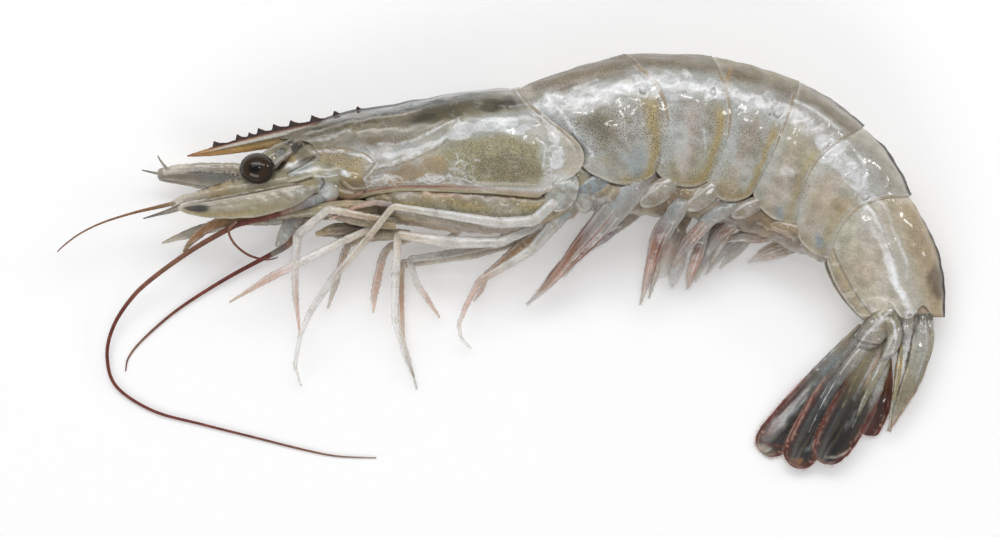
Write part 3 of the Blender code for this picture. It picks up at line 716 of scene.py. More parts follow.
# Lines: colour, strength, width, height pressed out, route. The white lines are painted highlights
# along the pressed ridges and wrinkles.
SHIELD_LINES = (
    ("mist", 0.7, 0.45, 0.08, ((-27.2, 22.2), (-19.2, 23.5), (-12.8, 24.9), (-8.0, 26.0))),
    ("ink", 0.75, 0.28, -0.14, ((-31.0, 20.6), (-24.0, 22.4), (-17.0, 23.6), (-9.0, 25.4))),
    ("cream", 0.8, 0.14, 0.08, ((-31.0, 20.1), (-24.0, 21.9), (-17.0, 23.0), (-12.6, 24.0))),
    ("umber", 0.7, 0.16, -0.08, ((-30.6, 19.6), (-24.4, 21.2), (-18.6, 22.2))),
    ("dark_olive", 0.7, 0.5, 0.0, ((-28.0, 21.0), (-22.0, 22.0), (-18.0, 22.4))),
    ("white", 0.9, 0.2, 0.14, ((-19.2, 15.0), (-15.5, 16.2), (-11.1, 17.9), (-8.6, 19.9), (-6.5, 22.4))),
    ("umber", 0.8, 0.16, -0.12, ((-20.0, 14.5), (-15.2, 15.6), (-10.9, 17.3), (-8.2, 19.4))),
    ("white", 0.85, 0.18, 0.1, ((-19.2, 18.6), (-14.9, 18.8), (-11.8, 19.9), (-9.0, 21.4), (-6.6, 22.7))),
    ("umber", 0.6, 0.12, -0.06, ((-19.6, 19.0), (-14.9, 19.3), (-11.8, 20.4), (-9.0, 21.9))),
    ("white", 0.8, 0.18, 0.1, ((1.6, 24.6), (5.3, 24.8), (6.7, 23.6), (8.5, 21.4), (9.7, 19.4))),
    ("umber", 0.6, 0.14, -0.08, ((5.9, 25.2), (7.4, 23.8), (9.2, 21.4), (10.4, 19.2))),
    ("white", 0.9, 0.2, 0.16, ((7.7, 17.4), (8.5, 18.4), (9.9, 17.4), (9.6, 15.5), (8.5, 14.9),
      (7.8, 16.2))),
    ("umber", 0.6, 0.2, -0.1, ((8.6, 17.3), (9.1, 16.4), (8.7, 15.8))),
    ("white", 0.8, 0.2, 0.12, ((8.3, 13.8), (9.6, 13.3), (9.0, 12.0), (7.7, 11.4))),
    ("white", 0.8, 0.16, 0.1, ((5.8, 19.2), (7.2, 18.0), (7.0, 16.2), (6.6, 14.6))),
    ("white", 0.9, 0.16, 0.14, ((-8.5, 13.6), (-5.0, 12.8), (-2.1, 11.4))),
    ("white", 0.9, 0.12, 0.1, ((-8.1, 13.9), (-7.4, 12.6), (-5.8, 12.0), (-4.6, 11.8))),
    ("white", 0.9, 0.14, 0.12, ((-13.2, 13.0), (-11.6, 13.8), (-9.6, 13.5), (-8.8, 13.0))),
    ("white", 0.9, 0.14, 0.12, ((-12.8, 12.8), (-10.9, 12.3), (-8.8, 13.0))),
    ("white", 0.8, 0.14, 0.1, ((-20.4, 13.2), (-18.8, 13.7), (-16.4, 13.6), (-15.4, 13.1))),
    ("white", 0.8, 0.12, 0.1, ((-20.6, 12.6), (-18.6, 12.9), (-16.6, 13.0))),
    ("white", 0.7, 0.12, 0.1, ((-8.6, 16.2), (-7.2, 15.4), (-6.2, 16.0), (-5.6, 15.0))),
    ("white", 0.7, 0.12, 0.1, ((-7.6, 14.8), (-6.0, 14.4), (-5.2, 13.2))),
    ("white", 0.85, 0.14, 0.12, ((-31.6, 17.0), (-28.0, 17.5), (-24.4, 17.2), (-21.6, 16.4),
      (-20.2, 15.6))),
    ("umber", 0.8, 0.14, -0.12, ((-31.0, 17.5), (-27.6, 18.0), (-23.6, 17.6), (-20.6, 16.4))),
    ("umber", 0.7, 0.2, -0.12, ((-20.0, 15.6), (-21.4, 14.0), (-22.8, 12.4))),
    ("white", 0.7, 0.14, 0.08, ((-19.4, 15.6), (-20.9, 13.8), (-22.0, 12.6))),
    ("pearl", 0.8, 0.22, 0.08, ((-30.6, 19.0), (-27.2, 19.5), (-23.7, 21.0))),
    ("ink", 0.6, 0.22, -0.06, ((-30.0, 19.7), (-27.6, 20.3), (-25.0, 20.9))),
    ("umber", 0.6, 0.14, -0.08, ((-19.2, 19.4), (-22.1, 17.8))),
    ("umber", 0.5, 0.14, -0.08, ((-21.8, 17.8), (-19.8, 16.6))),
)
# Painted highlights, where the light lies on the shield in hard-edged pools: centre, radii, turn.
SHIELD_PAINTED_SHEEN = (
    ((-1.6, 21.6), (4.6, 1.1), 10), ((-5.8, 20.6), (2.6, 1.4), 30), ((2.6, 20.6), (3.6, 0.6), 4),
    ((-10.6, 18.8), (3.4, 0.45), 22), ((-16.0, 17.0), (3.0, 0.5), 6), ((8.4, 20.4), (0.8, 2.2), 30),
    ((8.9, 16.2), (1.0, 1.6), 0), ((8.0, 22.4), (1.2, 0.6), -40), ((-11.4, 13.2), (1.6, 0.4), 4),
    ((-18.6, 13.2), (1.8, 0.3), 8),
)
# Crumpled patches: wrinkles are pressed in there, and their creases get painted highlights.
SHIELD_WRINKLED = (
    ((-11.0, 13.1), (3.0, 1.0), 0),
    ((-18.9, 12.6), (3.0, 0.9), 0),
    ((-6.0, 15.0), (2.2, 2.2), 0),
    ((8.6, 15.0), (2.0, 3.6), 0),
)
print(len(SHIELD_PATCHES), "patches and", len(SHIELD_LINES), "lines for the shield")


# %% Wrap the shield
def shield_points(u, around):
    """The smooth shield, without relief: a shallow notch over the eye and a blunt spine below."""
    s, wide = section(around, SHIELD_RIM_WIDTH)
    side = shield_side(u, s)
    forward = 0.6 * hump(s, 0.33, 0.05) + 3.6 * hump(s, 0.0, 0.12) + 3.4 * hump(s, 0.6, 0.15)
    side = side + np.outer(forward * (1 - rise(u, 0.0, 0.14)), (-0.97, -0.2))
    side = side + np.outer(rise(u, 0.9, 1.0) * hump(s, 1.0, 0.12), (-1.8, 1.2))
    half_width = through(SHIELD_HALF_WIDTH, u)[:, 0]
    half_width = half_width * (1 - 0.7 * (1 - rise(u, 0.0, 0.3)) * (1 - rise(s, 0.0, 0.3)))
    return np.column_stack([side, HEAD_MIDDLE + half_width * wide])


def paint_lines(tint, relief, plane, lines):
    """Draws broken lines with their colour and presses them into the relief."""
    broken = 0.45 + 0.55 * rise(ripple(np.column_stack([plane, plane[:, 0]]), 1.8, 11), -0.5, 0.3)
    for colour, strength, width, height, route in lines:
        touch = stroke(plane, route, width) * broken
        dab(tint, colour, strength * touch)
        relief += height * touch


def paint_patches(tint, dots, plane, patches, soft):
    """Lays on patches, each with its own colour and its own density of dots."""
    for colour, strength, speck, centre, radii, turn in patches:
        touch = patch(plane, centre, radii, turn, soft)
        dab(tint, colour, strength * touch)
        dots += (speck - dots) * touch


def finish_plate(piece, node, relief, tint, **masks):
    """Presses the relief into a painted sheet and gives it the thickness of shell."""
    press(piece, relief)
    store(piece, tint, **masks)
    modify(piece, "SOLIDIFY", thickness=SHELL_THICKNESS * MM, offset=-1.0)
    return hand_over(piece, SHELL, node)


def shield_ground(u, s):
    """The ground colour at u along the shield and s down its flank."""
    stations, names = zip(*SHIELD_GROUND)
    table = np.stack([ground(SHIELD_DEPTHS, row, s) for row in names])
    place = np.interp(u, stations, np.arange(len(stations)))
    low = np.minimum(place.astype(int), len(stations) - 2)
    pick = np.arange(len(u))
    blend = (place - low)[:, None]
    return table[low, pick] * (1 - blend) + table[low + 1, pick] * blend


def make_shield():
    piece, u, around = sheet("shield", 280, 100, 60)
    lay(piece, shield_points(u, around))
    points = points_of(piece)
    plane = points[:, :2]
    wander = wandering(points, 3.0, 3, 0.45)
    s, _ = section(around, SHIELD_RIM_WIDTH)
    back = np.abs(around)
    tint = shield_ground(np.clip(u + 0.02 * ripple(points, 5, 8), 0, 1),
                         np.clip(s + 0.02 * ripple(points, 4, 9), 0, 1))
    dots = 0.25 * np.ones(len(u))
    paint_patches(tint, dots, plane + wander, SHIELD_PATCHES, 0.25)
    relief = 0.1 * ripple(points, 4.5, 5) + 0.02 * ripple(points, 1.4, 6)
    relief += 0.35 * patch(plane, (0.0, 15.6), (8.5, 4.4), -3, 0.5)
    paint_lines(tint, relief, plane + 0.25 * wander, SHIELD_LINES)
    crumple = pools(plane + wander, SHIELD_WRINKLED, 0.5)
    folds = crease(points, 1.1, 12) * crumple
    fibre = crease(points * (0.3, 1.0, 1.0), 0.9, 7) * rise(ripple(points, 3.4, 10), 0.0, 0.8)
    # A painted highlight: hard-edged pools of near-white where the light lies.
    painted_sheen = torn(pools(plane + 0.6 * wander, SHIELD_PAINTED_SHEEN, 0.6), points * (0.5, 1.2, 1.0), 1.6, 26)
    rim = rise(s, 0.945, 0.97)
    relief += 0.13 * folds + 0.03 * fibre + 0.12 * rim - 0.1 * hump(s, 0.93, 0.012)
    relief += 0.4 * hump(back, 0.0, 0.03) * (1 - rise(u, 0.3, 0.85))
    relief += 0.05 * rise(u, 0.965, 0.975) - 0.06 * hump(u, 0.958, 0.006)
    # Painted highlights: white on the creases of the crumpled patches, and near-white in the pools. The
    # faint white streaks along the fibre are the shell's own.
    glaze(tint,
          white=0.5 * folds + 0.2 * fibre,
          shine=0.5 * painted_sheen,
          ink=0.85 * hump(back, 0.0, 0.07) * (1 - rise(u, 0.6, 0.9)),
          ochre=0.6 * rim,
          pearl=0.8 * hump(s, 0.955, 0.016) * rise(u, 0.5, 0.7),
          fern=0.6 * rise(s, 0.96, 0.975) * (1 - rise(u, 0.7, 0.85)),
          blood=0.8 * hump(s, 0.95, 0.007) * (1 - rise(u, 0.62, 0.8)),
          rose=0.6 * hump(s, 0.968, 0.007))
    # The rear margin: a tan band, a thin painted highlight along its lip and a dark line in front of it,
    # all broken in places.
    high = 1 - rise(s, 0.55, 0.8)
    broken_seam = high * (0.4 + 0.6 * rise(ripple(points, 2.6, 29), -0.5, 0.4))
    glaze(tint,
          tan=0.7 * hump(u, 0.991, 0.006) * high,
          shine=0.6 * hump(u, 0.979, 0.004) * broken_seam,
          bark=0.6 * hump(u, 0.985, 0.003) * broken_seam)
    # Painted light and shade by depth down the flank: the back a little darker, the middle of the flank
    # lighter.
    light = 1 - 0.08 * (1 - rise(s, 0.16, 0.3)) + 0.16 * hump(s, 0.62, 0.12)
    dull = hump(s, 0.17, 0.1) * rise(u, 0.35, 0.55) * (1 - rise(u, 0.86, 0.95))
    return finish_plate(piece, "carapace", relief, tint * light[:, None], speck=dots * (1 - painted_sheen),
                        wet=0.1 + 0.6 * crumple, dull=dull)


shield = make_shield()
print("shield:", len(shield.data.polygons), "faces")

# %% [markdown]
# ## The rostrum
#
# The rostrum is a blade with saw teeth on its back edge and a rib along each side that runs on
# into the shield. It could be an outline that is extruded, but then its sides would be flat. A
# stack of rings laid from tip to root gives each place its own height and thickness, and the
# teeth are where the top of the rings rises.

# %% Rostrum
ROSTRUM_BACK = ((-50.1, 16.9), (-34.0, 22.5), (-16.0, 24.9))
ROSTRUM_KEEL = ((-50.1, 16.7), (-42.0, 16.5), (-29.0, 19.4), (-16.0, 22.5))
TOOTH_TIPS = (-45.8, -42.1, -40.2, -38.7, -36.3, -33.6, -30.2, -26.6, -22.9)
TOOTH_HEIGHT = 0.95
TOOTH_SLOPE = 2.2
ROSTRUM_END = -12.0
ROSTRUM_SPANS = 400


def bezier_height(points, x):
    """Height of a Bezier curve over x, where x only grows along it."""
    t = np.linspace(0, 1, 200)[:, None]
    row = [np.array(point, float) + 0 * t for point in points]
    while len(row) > 1:
        row = [a + (b - a) * t for a, b in zip(row, row[1:])]
    return np.interp(x, row[0][:, 0], row[0][:, 1])


def teeth(x):
    """Height of the saw teeth over the back edge: steep in front, a long slope behind."""
    height = np.zeros(len(x))
    for i, tip in enumerate(TOOTH_TIPS):
        room = TOOTH_TIPS[i + 1] - tip - 0.3 if i + 1 < len(TOOTH_TIPS) else TOOTH_SLOPE
        reach = min(TOOTH_SLOPE, room)
        top = TOOTH_HEIGHT * min(1.0, reach / 1.6)
        behind = np.clip(1 - (x - tip) / reach, 0, 1) ** 1.9 * (x >= tip)
        ahead = np.clip(1 - (tip - x) / 0.22, 0, 1) * (x < tip)
        height = np.maximum(height, top * np.maximum(behind, ahead))
    return height


def make_rostrum():
    piece, ring, turn = stack("rostrum", ROSTRUM_SPANS + 1, 28)
    tip_x, (root_x, root_top), root_keel = ROSTRUM_BACK[0][0], ROSTRUM_BACK[-1], ROSTRUM_KEEL[-1][1]
    x = tip_x + (ROSTRUM_END - tip_x) * (ring / ROSTRUM_SPANS) ** 0.95
    past = x - root_x
    top = np.where(past > 0, root_top + 0.2 * past, bezier_height(ROSTRUM_BACK, x))
    keel = np.where(past > 0, root_keel + 0.3 * past, bezier_height(ROSTRUM_KEEL, x))
    up = np.clip(0.5 + 0.5 * np.cos(turn), 0, 1)
    y = keel + (top - keel) * up + teeth(x) * rise(up, 0.86, 0.99)
    thick = 0.55 + 1.5 * rise(x, -36.0, -14.0)
    tip = np.sqrt(np.clip((x - tip_x) / 3.0, 0.01, 1))
    bulge = np.abs(np.sin(turn))
    wall = bulge ** 0.6 * (1 - 0.6 * rise(up, 0.62, 1.0))
    rib = 0.28 * hump(up, 0.5, 0.06) - 0.16 * hump(up, 0.62, 0.05) - 0.1 * hump(up, 0.36, 0.06)
    side = tip * (thick * wall + rib * bulge)
    lay(piece, np.column_stack([x, y, HEAD_MIDDLE + np.sign(np.sin(turn)) * side]))
    tint = ground((-50, -47, -40, -30, -22, -14), "ember flame honey fern moss grey", x)
    ahead = rise(x, -48.0, -43.0)
    glaze(tint,
          rust=0.6 * hump(up, 0.12, 0.12) * (1 - rise(x, -42.0, -30.0)),
          bark=0.85 * hump(up, 0.5, 0.05) * ahead,
          milk=0.9 * hump(up, 0.59, 0.04) * ahead,
          ink=0.9 * hump(up, 0.66, 0.04) * ahead)
    glaze(tint,
          milk=0.7 * hump(up, 0.73, 0.03) * ahead,
          maroon=0.85 * rise(up, 0.76, 0.82) * rise(x, -47.5, -45.5),
          night=0.9 * rise(up, 0.82, 0.88) * rise(x, -47.0, -45.4))
    glaze(tint,
          maroon=0.35 * rise(up, 0.97, 0.99) * rise(x, -46.4, -45.4),
          mist=0.5 * hump(up, 0.2, 0.12) * rise(x, -30.0, -20.0))
    return dress(piece, SHELL, "shell", "carapace", tint, 0.03 * ripple(points_of(piece), 1.2, 31),
                 speck=0.25, wet=0.1, dull=0.3 + 0.7 * rise(up, 0.6, 0.8))


rostrum = make_rostrum()
print("rostrum:", len(TOOTH_TIPS), "teeth")

# %% [markdown]
# ## The tail's rings
#
# Each ring is one bent plate. Its front edge slides in under the ring before, and its rear edge
# lies a little proud, so a plate is wrapped from just in front of its joint line to just behind
# the next. The lower edges hang down as rounded lobes. The last four rings have a keel that rises
# towards the rear, and every joint turns on a knob on each flank.

# %% Ring colours and lines
# Ground colours of each ring at eight depths, from the back to the edge of its lobe.
RING_DEPTHS = (0.0, 0.1, 0.2, 0.33, 0.5, 0.7, 0.9, 1.0)
RING_GROUND = (
    "loam loam haze dew haze haze dew gold",
    "loam loam dew dew haze dew reed gold",
    "moss loam haze dew haze dew reed gold",
    "grey loam haze stone reed stone stone reed",
    "stone grey haze dew stone sand stone sand",
    "tan tan sand stone stone cream stone sand",
)
# How strongly each ring shows its yellow rear band, pale blue front and dots. The painted
# highlight on its upper flank comes from the table after these.
RING_BAND = (0.85, 0.85, 0.8, 0.45, 0.3, 0.0)
RING_CRESCENT = (0.7, 0.6, 0.6, 0.45, 0.35, 0.2)
RING_DOTS = (1.0, 0.85, 0.8, 0.45, 0.5, 0.5)
# The painted highlight along each ring, a hard-edged pool of light: its depth, width and strength.
RING_PAINTED_SHEEN = ((0.29, 0.10, 0.5), (0.28, 0.11, 0.5), (0.30, 0.10, 0.4), (0.30, 0.09, 0.36),
              (0.34, 0.08, 0.36), (0.45, 0.04, 0.3))
# How light each ring is, and how high its keel stands out.
RING_LIGHT = (1.04, 1.0, 1.0, 1.03, 1.07, 1.14)
KEEL = (0.0, 0.0, 0.08, 0.34, 0.42, 0.46)
# Where the knobs of the joints are in the side view.
KNOBS = ((22.6, 27.0), (33.8, 26.7), (44.0, 23.2), (51.8, 18.4), (58.2, 10.1), (65.9, -9.0))
# How far a plate reaches in under the one before, and out past its rear joint line, as shares
# of its length. The last plate ends at its joint line.
PLATE_TUCK, PLATE_LAP = 0.07, 0.04
# Patches: colour, strength, dots, centre, radii, turn. The pearl and white patches, and the
# near-white streak on the last ring, are painted highlights and glints.
RING_PATCHES = (
    ("olive", 0.8, 1.0, (15.0, 20.4), (3.8, 3.2), 20),
    ("dark_olive", 0.5, 1.0, (14.4, 20.8), (2.8, 2.0), 20),
    ("gold", 0.6, 0.6, (14.6, 15.2), (3.4, 1.5), -10),
    ("umber", 0.45, 0.9, (26.6, 23.4), (2.6, 1.2), -10),
    ("olive", 0.45, 0.9, (34.0, 21.6), (1.4, 3.6), 10),
    ("blue", 0.5, 0.2, (22.0, 15.8), (2.2, 2.4), 10),
    ("frost", 0.6, 0.1, (29.0, 17.6), (1.3, 4.2), 6),
    ("frost", 0.55, 0.1, (38.4, 15.4), (1.4, 4.6), 14),
    ("umber", 0.4, 0.8, (47.2, 12.2), (1.4, 2.4), 30),
    ("reed", 0.6, 0.3, (54.8, 5.2), (2.6, 3.0), 30),
    ("olive", 0.5, 0.6, (16.4, 15.2), (3.0, 1.6), 10),
    ("umber", 0.6, 1.0, (17.4, 29.9), (2.2, 1.0), 16),
    ("umber", 0.45, 1.0, (39.4, 29.6), (3.0, 1.2), -12),
    ("mist", 0.6, 0.2, (16.0, 12.6), (3.6, 2.2), 20),
    ("umber", 0.5, 1.0, (11.5, 28.6), (3.5, 1.6), 20),
    ("pearl", 0.75, 0.0, (16.6, 26.0), (5.6, 0.9), 24),
    ("pearl", 0.6, 0.1, (14.4, 24.2), (4.0, 0.5), 16),
    ("pearl", 0.75, 0.0, (28.0, 28.0), (5.2, 1.0), 0),
    ("white", 0.6, 0.0, (27.0, 26.2), (3.4, 0.6), -6),
    ("pearl", 0.6, 0.0, (40.4, 25.2), (2.6, 1.0), -28),
    ("pearl", 0.5, 0.1, (49.2, 22.0), (3.2, 0.6), -36),
    ("pearl", 0.6, 0.0, (56.0, 14.6), (2.6, 0.8), -62),
    ("amber", 0.8, 0.3, (36.4, 29.4), (0.45, 2.4), 5),
    ("olive", 0.5, 0.9, (39.5, 18.5), (2.4, 3.2), 20),
    ("white", 0.9, 0.0, (51.0, 18.9), (0.8, 1.4), 30),
    ("white", 0.8, 0.0, (53.7, 18.2), (1.3, 1.2), 0),
    ("white", 0.7, 0.0, (51.6, 16.2), (1.0, 0.9), 0),
    ("amber", 0.45, 0.4, (54.0, 9.0), (1.2, 1.1), 30),
    ("blue", 0.85, 0.2, (44.4, 7.9), (0.8, 0.8), 0),
    ("blue", 0.85, 0.2, (51.0, 3.0), (0.9, 1.0), 0),
    ("white", 0.6, 0.0, (45.5, 14.5), (1.0, 0.9), 0),
    ("bark", 0.75, 0.2, (70.2, -3.6), (1.6, 2.8), 10),
    ("fern", 0.5, 0.6, (56.6, -1.0), (2.4, 6.0), 24),
    ("gold", 0.35, 0.3, (60.0, -11.6), (1.6, 1.4), 0),
    ("tan", 0.5, 0.8, (66.6, 3.4), (1.8, 4.0), 18),
    ("shine", 0.6, 0.0, (62.6, -2.0), (0.5, 4.6), 22),
)
# Lines: colour, strength, width, height pressed out, route. The white lines are painted highlights
# along ridges and edges of the plates.
RING_LINES = (
    ("white", 0.9, 0.3, 0.18, ((7.2, 26.4), (9.0, 24.5), (10.6, 22.2), (12.0, 19.8), (14.7, 17.0))),
    ("white", 0.7, 0.18, 0.08, ((7.7, 26.2), (12.0, 27.4), (15.5, 28.7))),
    ("cream", 0.7, 0.16, 0.08, ((16.5, 25.1), (19.3, 22.9), (19.8, 20.0), (20.8, 17.5))),
    ("white", 0.5, 0.16, 0.05, ((22.1, 26.4), (22.7, 21.6))),
    ("white", 0.9, 0.16, 0.08, ((32.3, 20.8), (32.7, 17.5))),
    ("white", 0.9, 0.25, 0.14, ((46.9, 25.6), (48.8, 24.5), (51.2, 22.9), (53.8, 21.0))),
    ("white", 0.7, 0.25, 0.1, ((52.6, 17.4), (54.4, 14.9), (54.7, 13.0), (57.0, 11.0))),
    ("white", 0.8, 0.22, 0.12, ((55.2, 19.0), (57.3, 16.5), (58.1, 14.6), (57.8, 12.0))),
    ("white", 0.9, 0.45, 0.2, ((58.6, 8.6), (60.5, 5.8), (61.9, 1.8), (63.5, -3.5), (64.8, -6.2),
      (65.8, -8.2))),
    ("umber", 0.7, 0.18, -0.12, ((58.9, 9.3), (60.4, 6.6), (61.8, 2.8), (62.6, 0.6))),
    ("white", 0.6, 0.25, 0.1, ((59.5, 9.8), (61.4, 8.6), (62.9, 4.6), (64.8, -0.2), (65.0, -3.0))),
)
print(len(RING_PATCHES), "patches and", len(RING_LINES), "lines for the rings")


# %% Wrap the rings
def ring_points(index, t, around):
    """A ring's plate: tucked in at its front edge, a little proud at its rear edge. The first
    one flares in front like the shield it slides under."""
    flare = (SHIELD_RIM_WIDTH - PLATE_EDGE_WIDTH) * (1 - rise(t, 0.0, 0.6)) * (index == 0)
    s, wide = section(around, PLATE_EDGE_WIDTH + flare)
    side = ring_side(index, t, s, 0.7)
    front, rear = joint_half_width(index), joint_half_width(index + 1)
    half_width = front + (rear - front) * t + 0.15 * np.sin(np.pi * np.clip(t, 0, 1))
    if index == len(JOINTS) - 1:
        notch = 2.0 * hump(s, 0.28, 0.1) + 1.5 * hump(s, 0.68, 0.09) + 0.4 * hump(s, 0.85, 0.05)
        side = side + np.outer(notch * rise(t, 0.7, 1.0), (0.0, 1.0))
    return np.column_stack([side, half_width - REST_FLAT + half_width * wide])


def press_knobs(tint, relief, points):
    """The knobs that the rings turn on: a pale button in a dark groove."""
    # The dark ring in the groove round each knob is broken in places.
    patchy = 0.3 * ripple(points, 3.2, 16) + 0.14 * ripple(points, 1.3, 17) > -0.1
    for knob in KNOBS:
        gap = np.linalg.norm(points[:, :2] - knob, axis=1) * (1 + 0.35 * ripple(points, 1.2, 22))
        relief += 0.12 * hump(gap, 0.0, 0.32) - 0.1 * hump(gap, 0.55, 0.2)
        glaze(tint,
              white=0.5 * hump(gap, 0.9, 0.3) + 0.6 * hump(gap, 0.0, 0.22),
              bark=0.7 * hump(gap, 0.5, 0.14) * patchy)


def make_ring(index):
    piece, along, around = sheet(f"ring_{index + 1}", 110, 90, 56)
    last = index == len(JOINTS) - 1
    t = (1 + PLATE_TUCK + PLATE_LAP * (not last)) * along - PLATE_TUCK
    lay(piece, ring_points(index, t, around))
    points = points_of(piece)
    plane = points[:, :2]
    wander = wandering(points, 3.0, 13, 0.4)
    drift = 0.03 * ripple(points, 3.5, 15 + index)
    s, _ = section(around, PLATE_EDGE_WIDTH)
    back = np.abs(around)
    flank = rise(s, 0.34, 0.5)
    tint = ground(RING_DEPTHS, RING_GROUND[index], np.clip(s + 0.6 * drift, 0, 1))
    dots = RING_DOTS[index] * (1 - 0.85 * hump(s, 0.26, 0.12))
    paint_patches(tint, dots, plane + wander, RING_PATCHES, 0.35)
    seam = rise(s, 0.1, 0.16) * (1 - rise(s, 0.5, 0.7))
    broken_seam = seam * (0.3 + 0.7 * rise(ripple(points, 2.6, 29), -0.4, 0.5))
    glaze(tint,
          olive=0.4 * rise(ripple(points, 2.4, 25), 0.2, 0.9) * flank,
          gold=RING_BAND[index] * hump(t + drift, 0.87, 0.07) * flank,
          rose=0.3 * hump(t + drift, 0.45, 0.15) * flank * (index > 0),
          frost=RING_CRESCENT[index] * hump(t + drift, 0.08, 0.15) * flank,
          dew=0.5 * hump(t, 0.99, 0.03) * rise(s, 0.5, 0.7),
          cream=0.5 * (1 - rise(t, 0.05, 0.12)) * (1 - rise(s, 0.1, 0.2)),
          # The seam at the rear edge: a tan edge, a thin painted highlight on its lip and a dark line,
          # broken in places.
          tan=0.8 * rise(t, 0.995, 1.0) * seam,
          shine=0.7 * hump(t, 0.985, 0.006) * broken_seam,
          bark=0.7 * hump(t, 0.974, 0.005) * broken_seam)
    if last:
        glaze(tint,
              gold=0.5 * hump(s, 0.92, 0.03),
              bark=0.6 * hump(s, 0.885, 0.01),
              umber=0.8 * rise(t, 0.975, 0.99),
              olive=0.25 * rise(ripple(points, 1.7, 30), 0.1, 0.8) * flank)
    fibre = crease(points * (1.0, 0.45, 0.45), 0.8, 20) * rise(ripple(points, 3.0, 24), 0.0, 0.8)
    dab(tint, "cream", 0.7 * rise(s, 0.975, 0.99) + 0.15 * fibre)
    relief = 0.13 * ripple(points, 3.8, 18) + 0.025 * ripple(points, 1.5, 19)
    relief -= 0.24 * (1 - rise(t, -0.02, 0.1)) * (1 - 0.5 * flank)
    relief += 0.03 * rise(s, 0.95, 0.98) + 0.02 * fibre
    paint_lines(tint, relief, plane + 0.2 * wander, RING_LINES)
    relief += KEEL[index] * hump(back, 0.0, 0.03) * rise(t, 0.1, 0.6)
    dab(tint, "night", 2.4 * KEEL[index] * hump(back, 0.0, 0.055) * rise(t, 0.0, 0.3))
    press_knobs(tint, relief, points)
    # A painted highlight: a hard-edged pool of near-white along the upper flank.
    depth, width, strength = RING_PAINTED_SHEEN[index]
    bright = hump(s + 0.5 * drift, depth, width)
    painted_sheen = torn(bright, points * (0.6, 0.6, 1.0), 2.2, 21 + index, 0.56)
    relief += 0.045 * crease(points, 1.9, 27) * bright
    dab(tint, "shine", strength * painted_sheen * (0.75 + 0.35 * ripple(points, 1.1, 28)))
    # Painted light and shade by depth down the flank: a little lighter on the back and the middle of the
    # flank, darker at the lobes' lower edges.
    light = 1 + 0.06 * (1 - rise(s, 0.1, 0.2)) + 0.1 * hump(s, 0.55, 0.2) - 0.14 * rise(s, 0.9, 0.97)
    return finish_plate(piece, f"abdomen_{index + 1}", relief, tint * (RING_LIGHT[index] * light)[:, None],
                        speck=dots * (1 - 0.8 * painted_sheen), wet=0.1 + 0.2 * bright,
                        dull=0.6 * (1 - rise(s, 0.08, 0.16)))


rings = [make_ring(index) for index in range(len(JOINTS))]
print("rings:", sum(len(ring.data.polygons) for ring in rings), "faces")

# %% [markdown]
# ## The meat inside the tail
#
# Between the plates and along the belly the soft body shows. It is one stack of rings just
# inside the shell, closed at both ends, with a cross bar under every plate.

# %% Tail meat
MEAT_INSET = 0.55
BELLY_DEPTH = 0.88
FLANK_SHARE = 0.72            # of the way round; the belly is the rest
MEAT_SPANS = 20               # rings to each plate


def make_meat():
    tail = len(JOINTS)
    piece, ring, turn = stack("tail_meat", MEAT_SPANS * tail + 1, 64)
    place = np.clip(ring / MEAT_SPANS, 0.06, tail - 0.04)
    index = np.minimum(place.astype(int), tail - 1)
    part = np.abs(turn) / math.pi
    lowest = 0.5 + 0.5 * (BELLY_DEPTH - WIDEST_AT) / (1 - WIDEST_AT)
    around = np.sign(turn) * np.minimum(part / FLANK_SHARE, 1.0) * lowest
    belly = np.clip((part - FLANK_SHARE) / (1 - FLANK_SHARE), 0, 1)
    points = np.zeros((len(ring), 3))
    for k in range(tail):
        mine = index == k
        t = (place - k)[mine]
        s, wide = section(around[mine], PLATE_EDGE_WIDTH)
        side = ring_side(k, t, np.clip(s * 0.96 + 0.025, 0, 1))
        front, rear = joint_half_width(k), joint_half_width(k + 1)
        half_width = front + (rear - front) * t
        narrow = (1 - MEAT_INSET / half_width) * (1 - belly[mine])
        points[mine] = np.column_stack([side, half_width - REST_FLAT + half_width * wide * narrow])
    lay(piece, points)
    points = points_of(piece)
    tint = ground((0, 2, 4, 6), "liver veal ham bacon", place)
    glaze(tint,
          umber=0.5 * rise(ripple(points, 2.5, 41), 0.1, 0.9),
          rose=0.4 * rise(ripple(points, 3.5, 42), 0.2, 0.9))
    bars = np.abs(np.sin(np.pi * place)) ** 4
    return dress(piece, FLESH, "thorax_flesh", None, tint,
                 0.35 * rise(belly, 0.0, 0.4) * bars + 0.1 * ripple(points, 2.2, 43),
                 speck=0.15, wet=0.6)


meat = make_meat()
print("tail meat:", len(meat.data.polygons), "faces")

# %% [markdown]
# ## Laying limbs
#
# Limbs, whips and blades are all one kind of shape: a stack of rings along a route. Each point
# of a route gives a place, half the width and half the thickness, and a smooth curve runs
# through all five numbers, so a limb swells and thins as gently as it bends. Small round parts
# start as a sphere instead. Hairs are cones, and one cone is repeated by an Array modifier.

# %% Limbs, balls and hairs
LIMB = wet_skin("wet_limb", rough=0.2, coat=0.8, dots=4400.0, depth=0.025, scatter=0.3,
                glow=(1.0, 0.75, 0.6))
WHIP = wet_skin("wet_whip", rough=0.6, coat=0.0, dots=2600.0, mottle=0.3, depth=0.03)
EYE = wet_skin("wet_eye", rough=0.06, coat=0.1, dots=6000.0, mottle=0.1, depth=0.003)
FAN = wet_skin("wet_fan", rough=0.16, coat=0.9, dots=2300.0, mottle=0.4, depth=0.03)
HAIR_STEP = 10.0              # how far apart the copies of one hair start


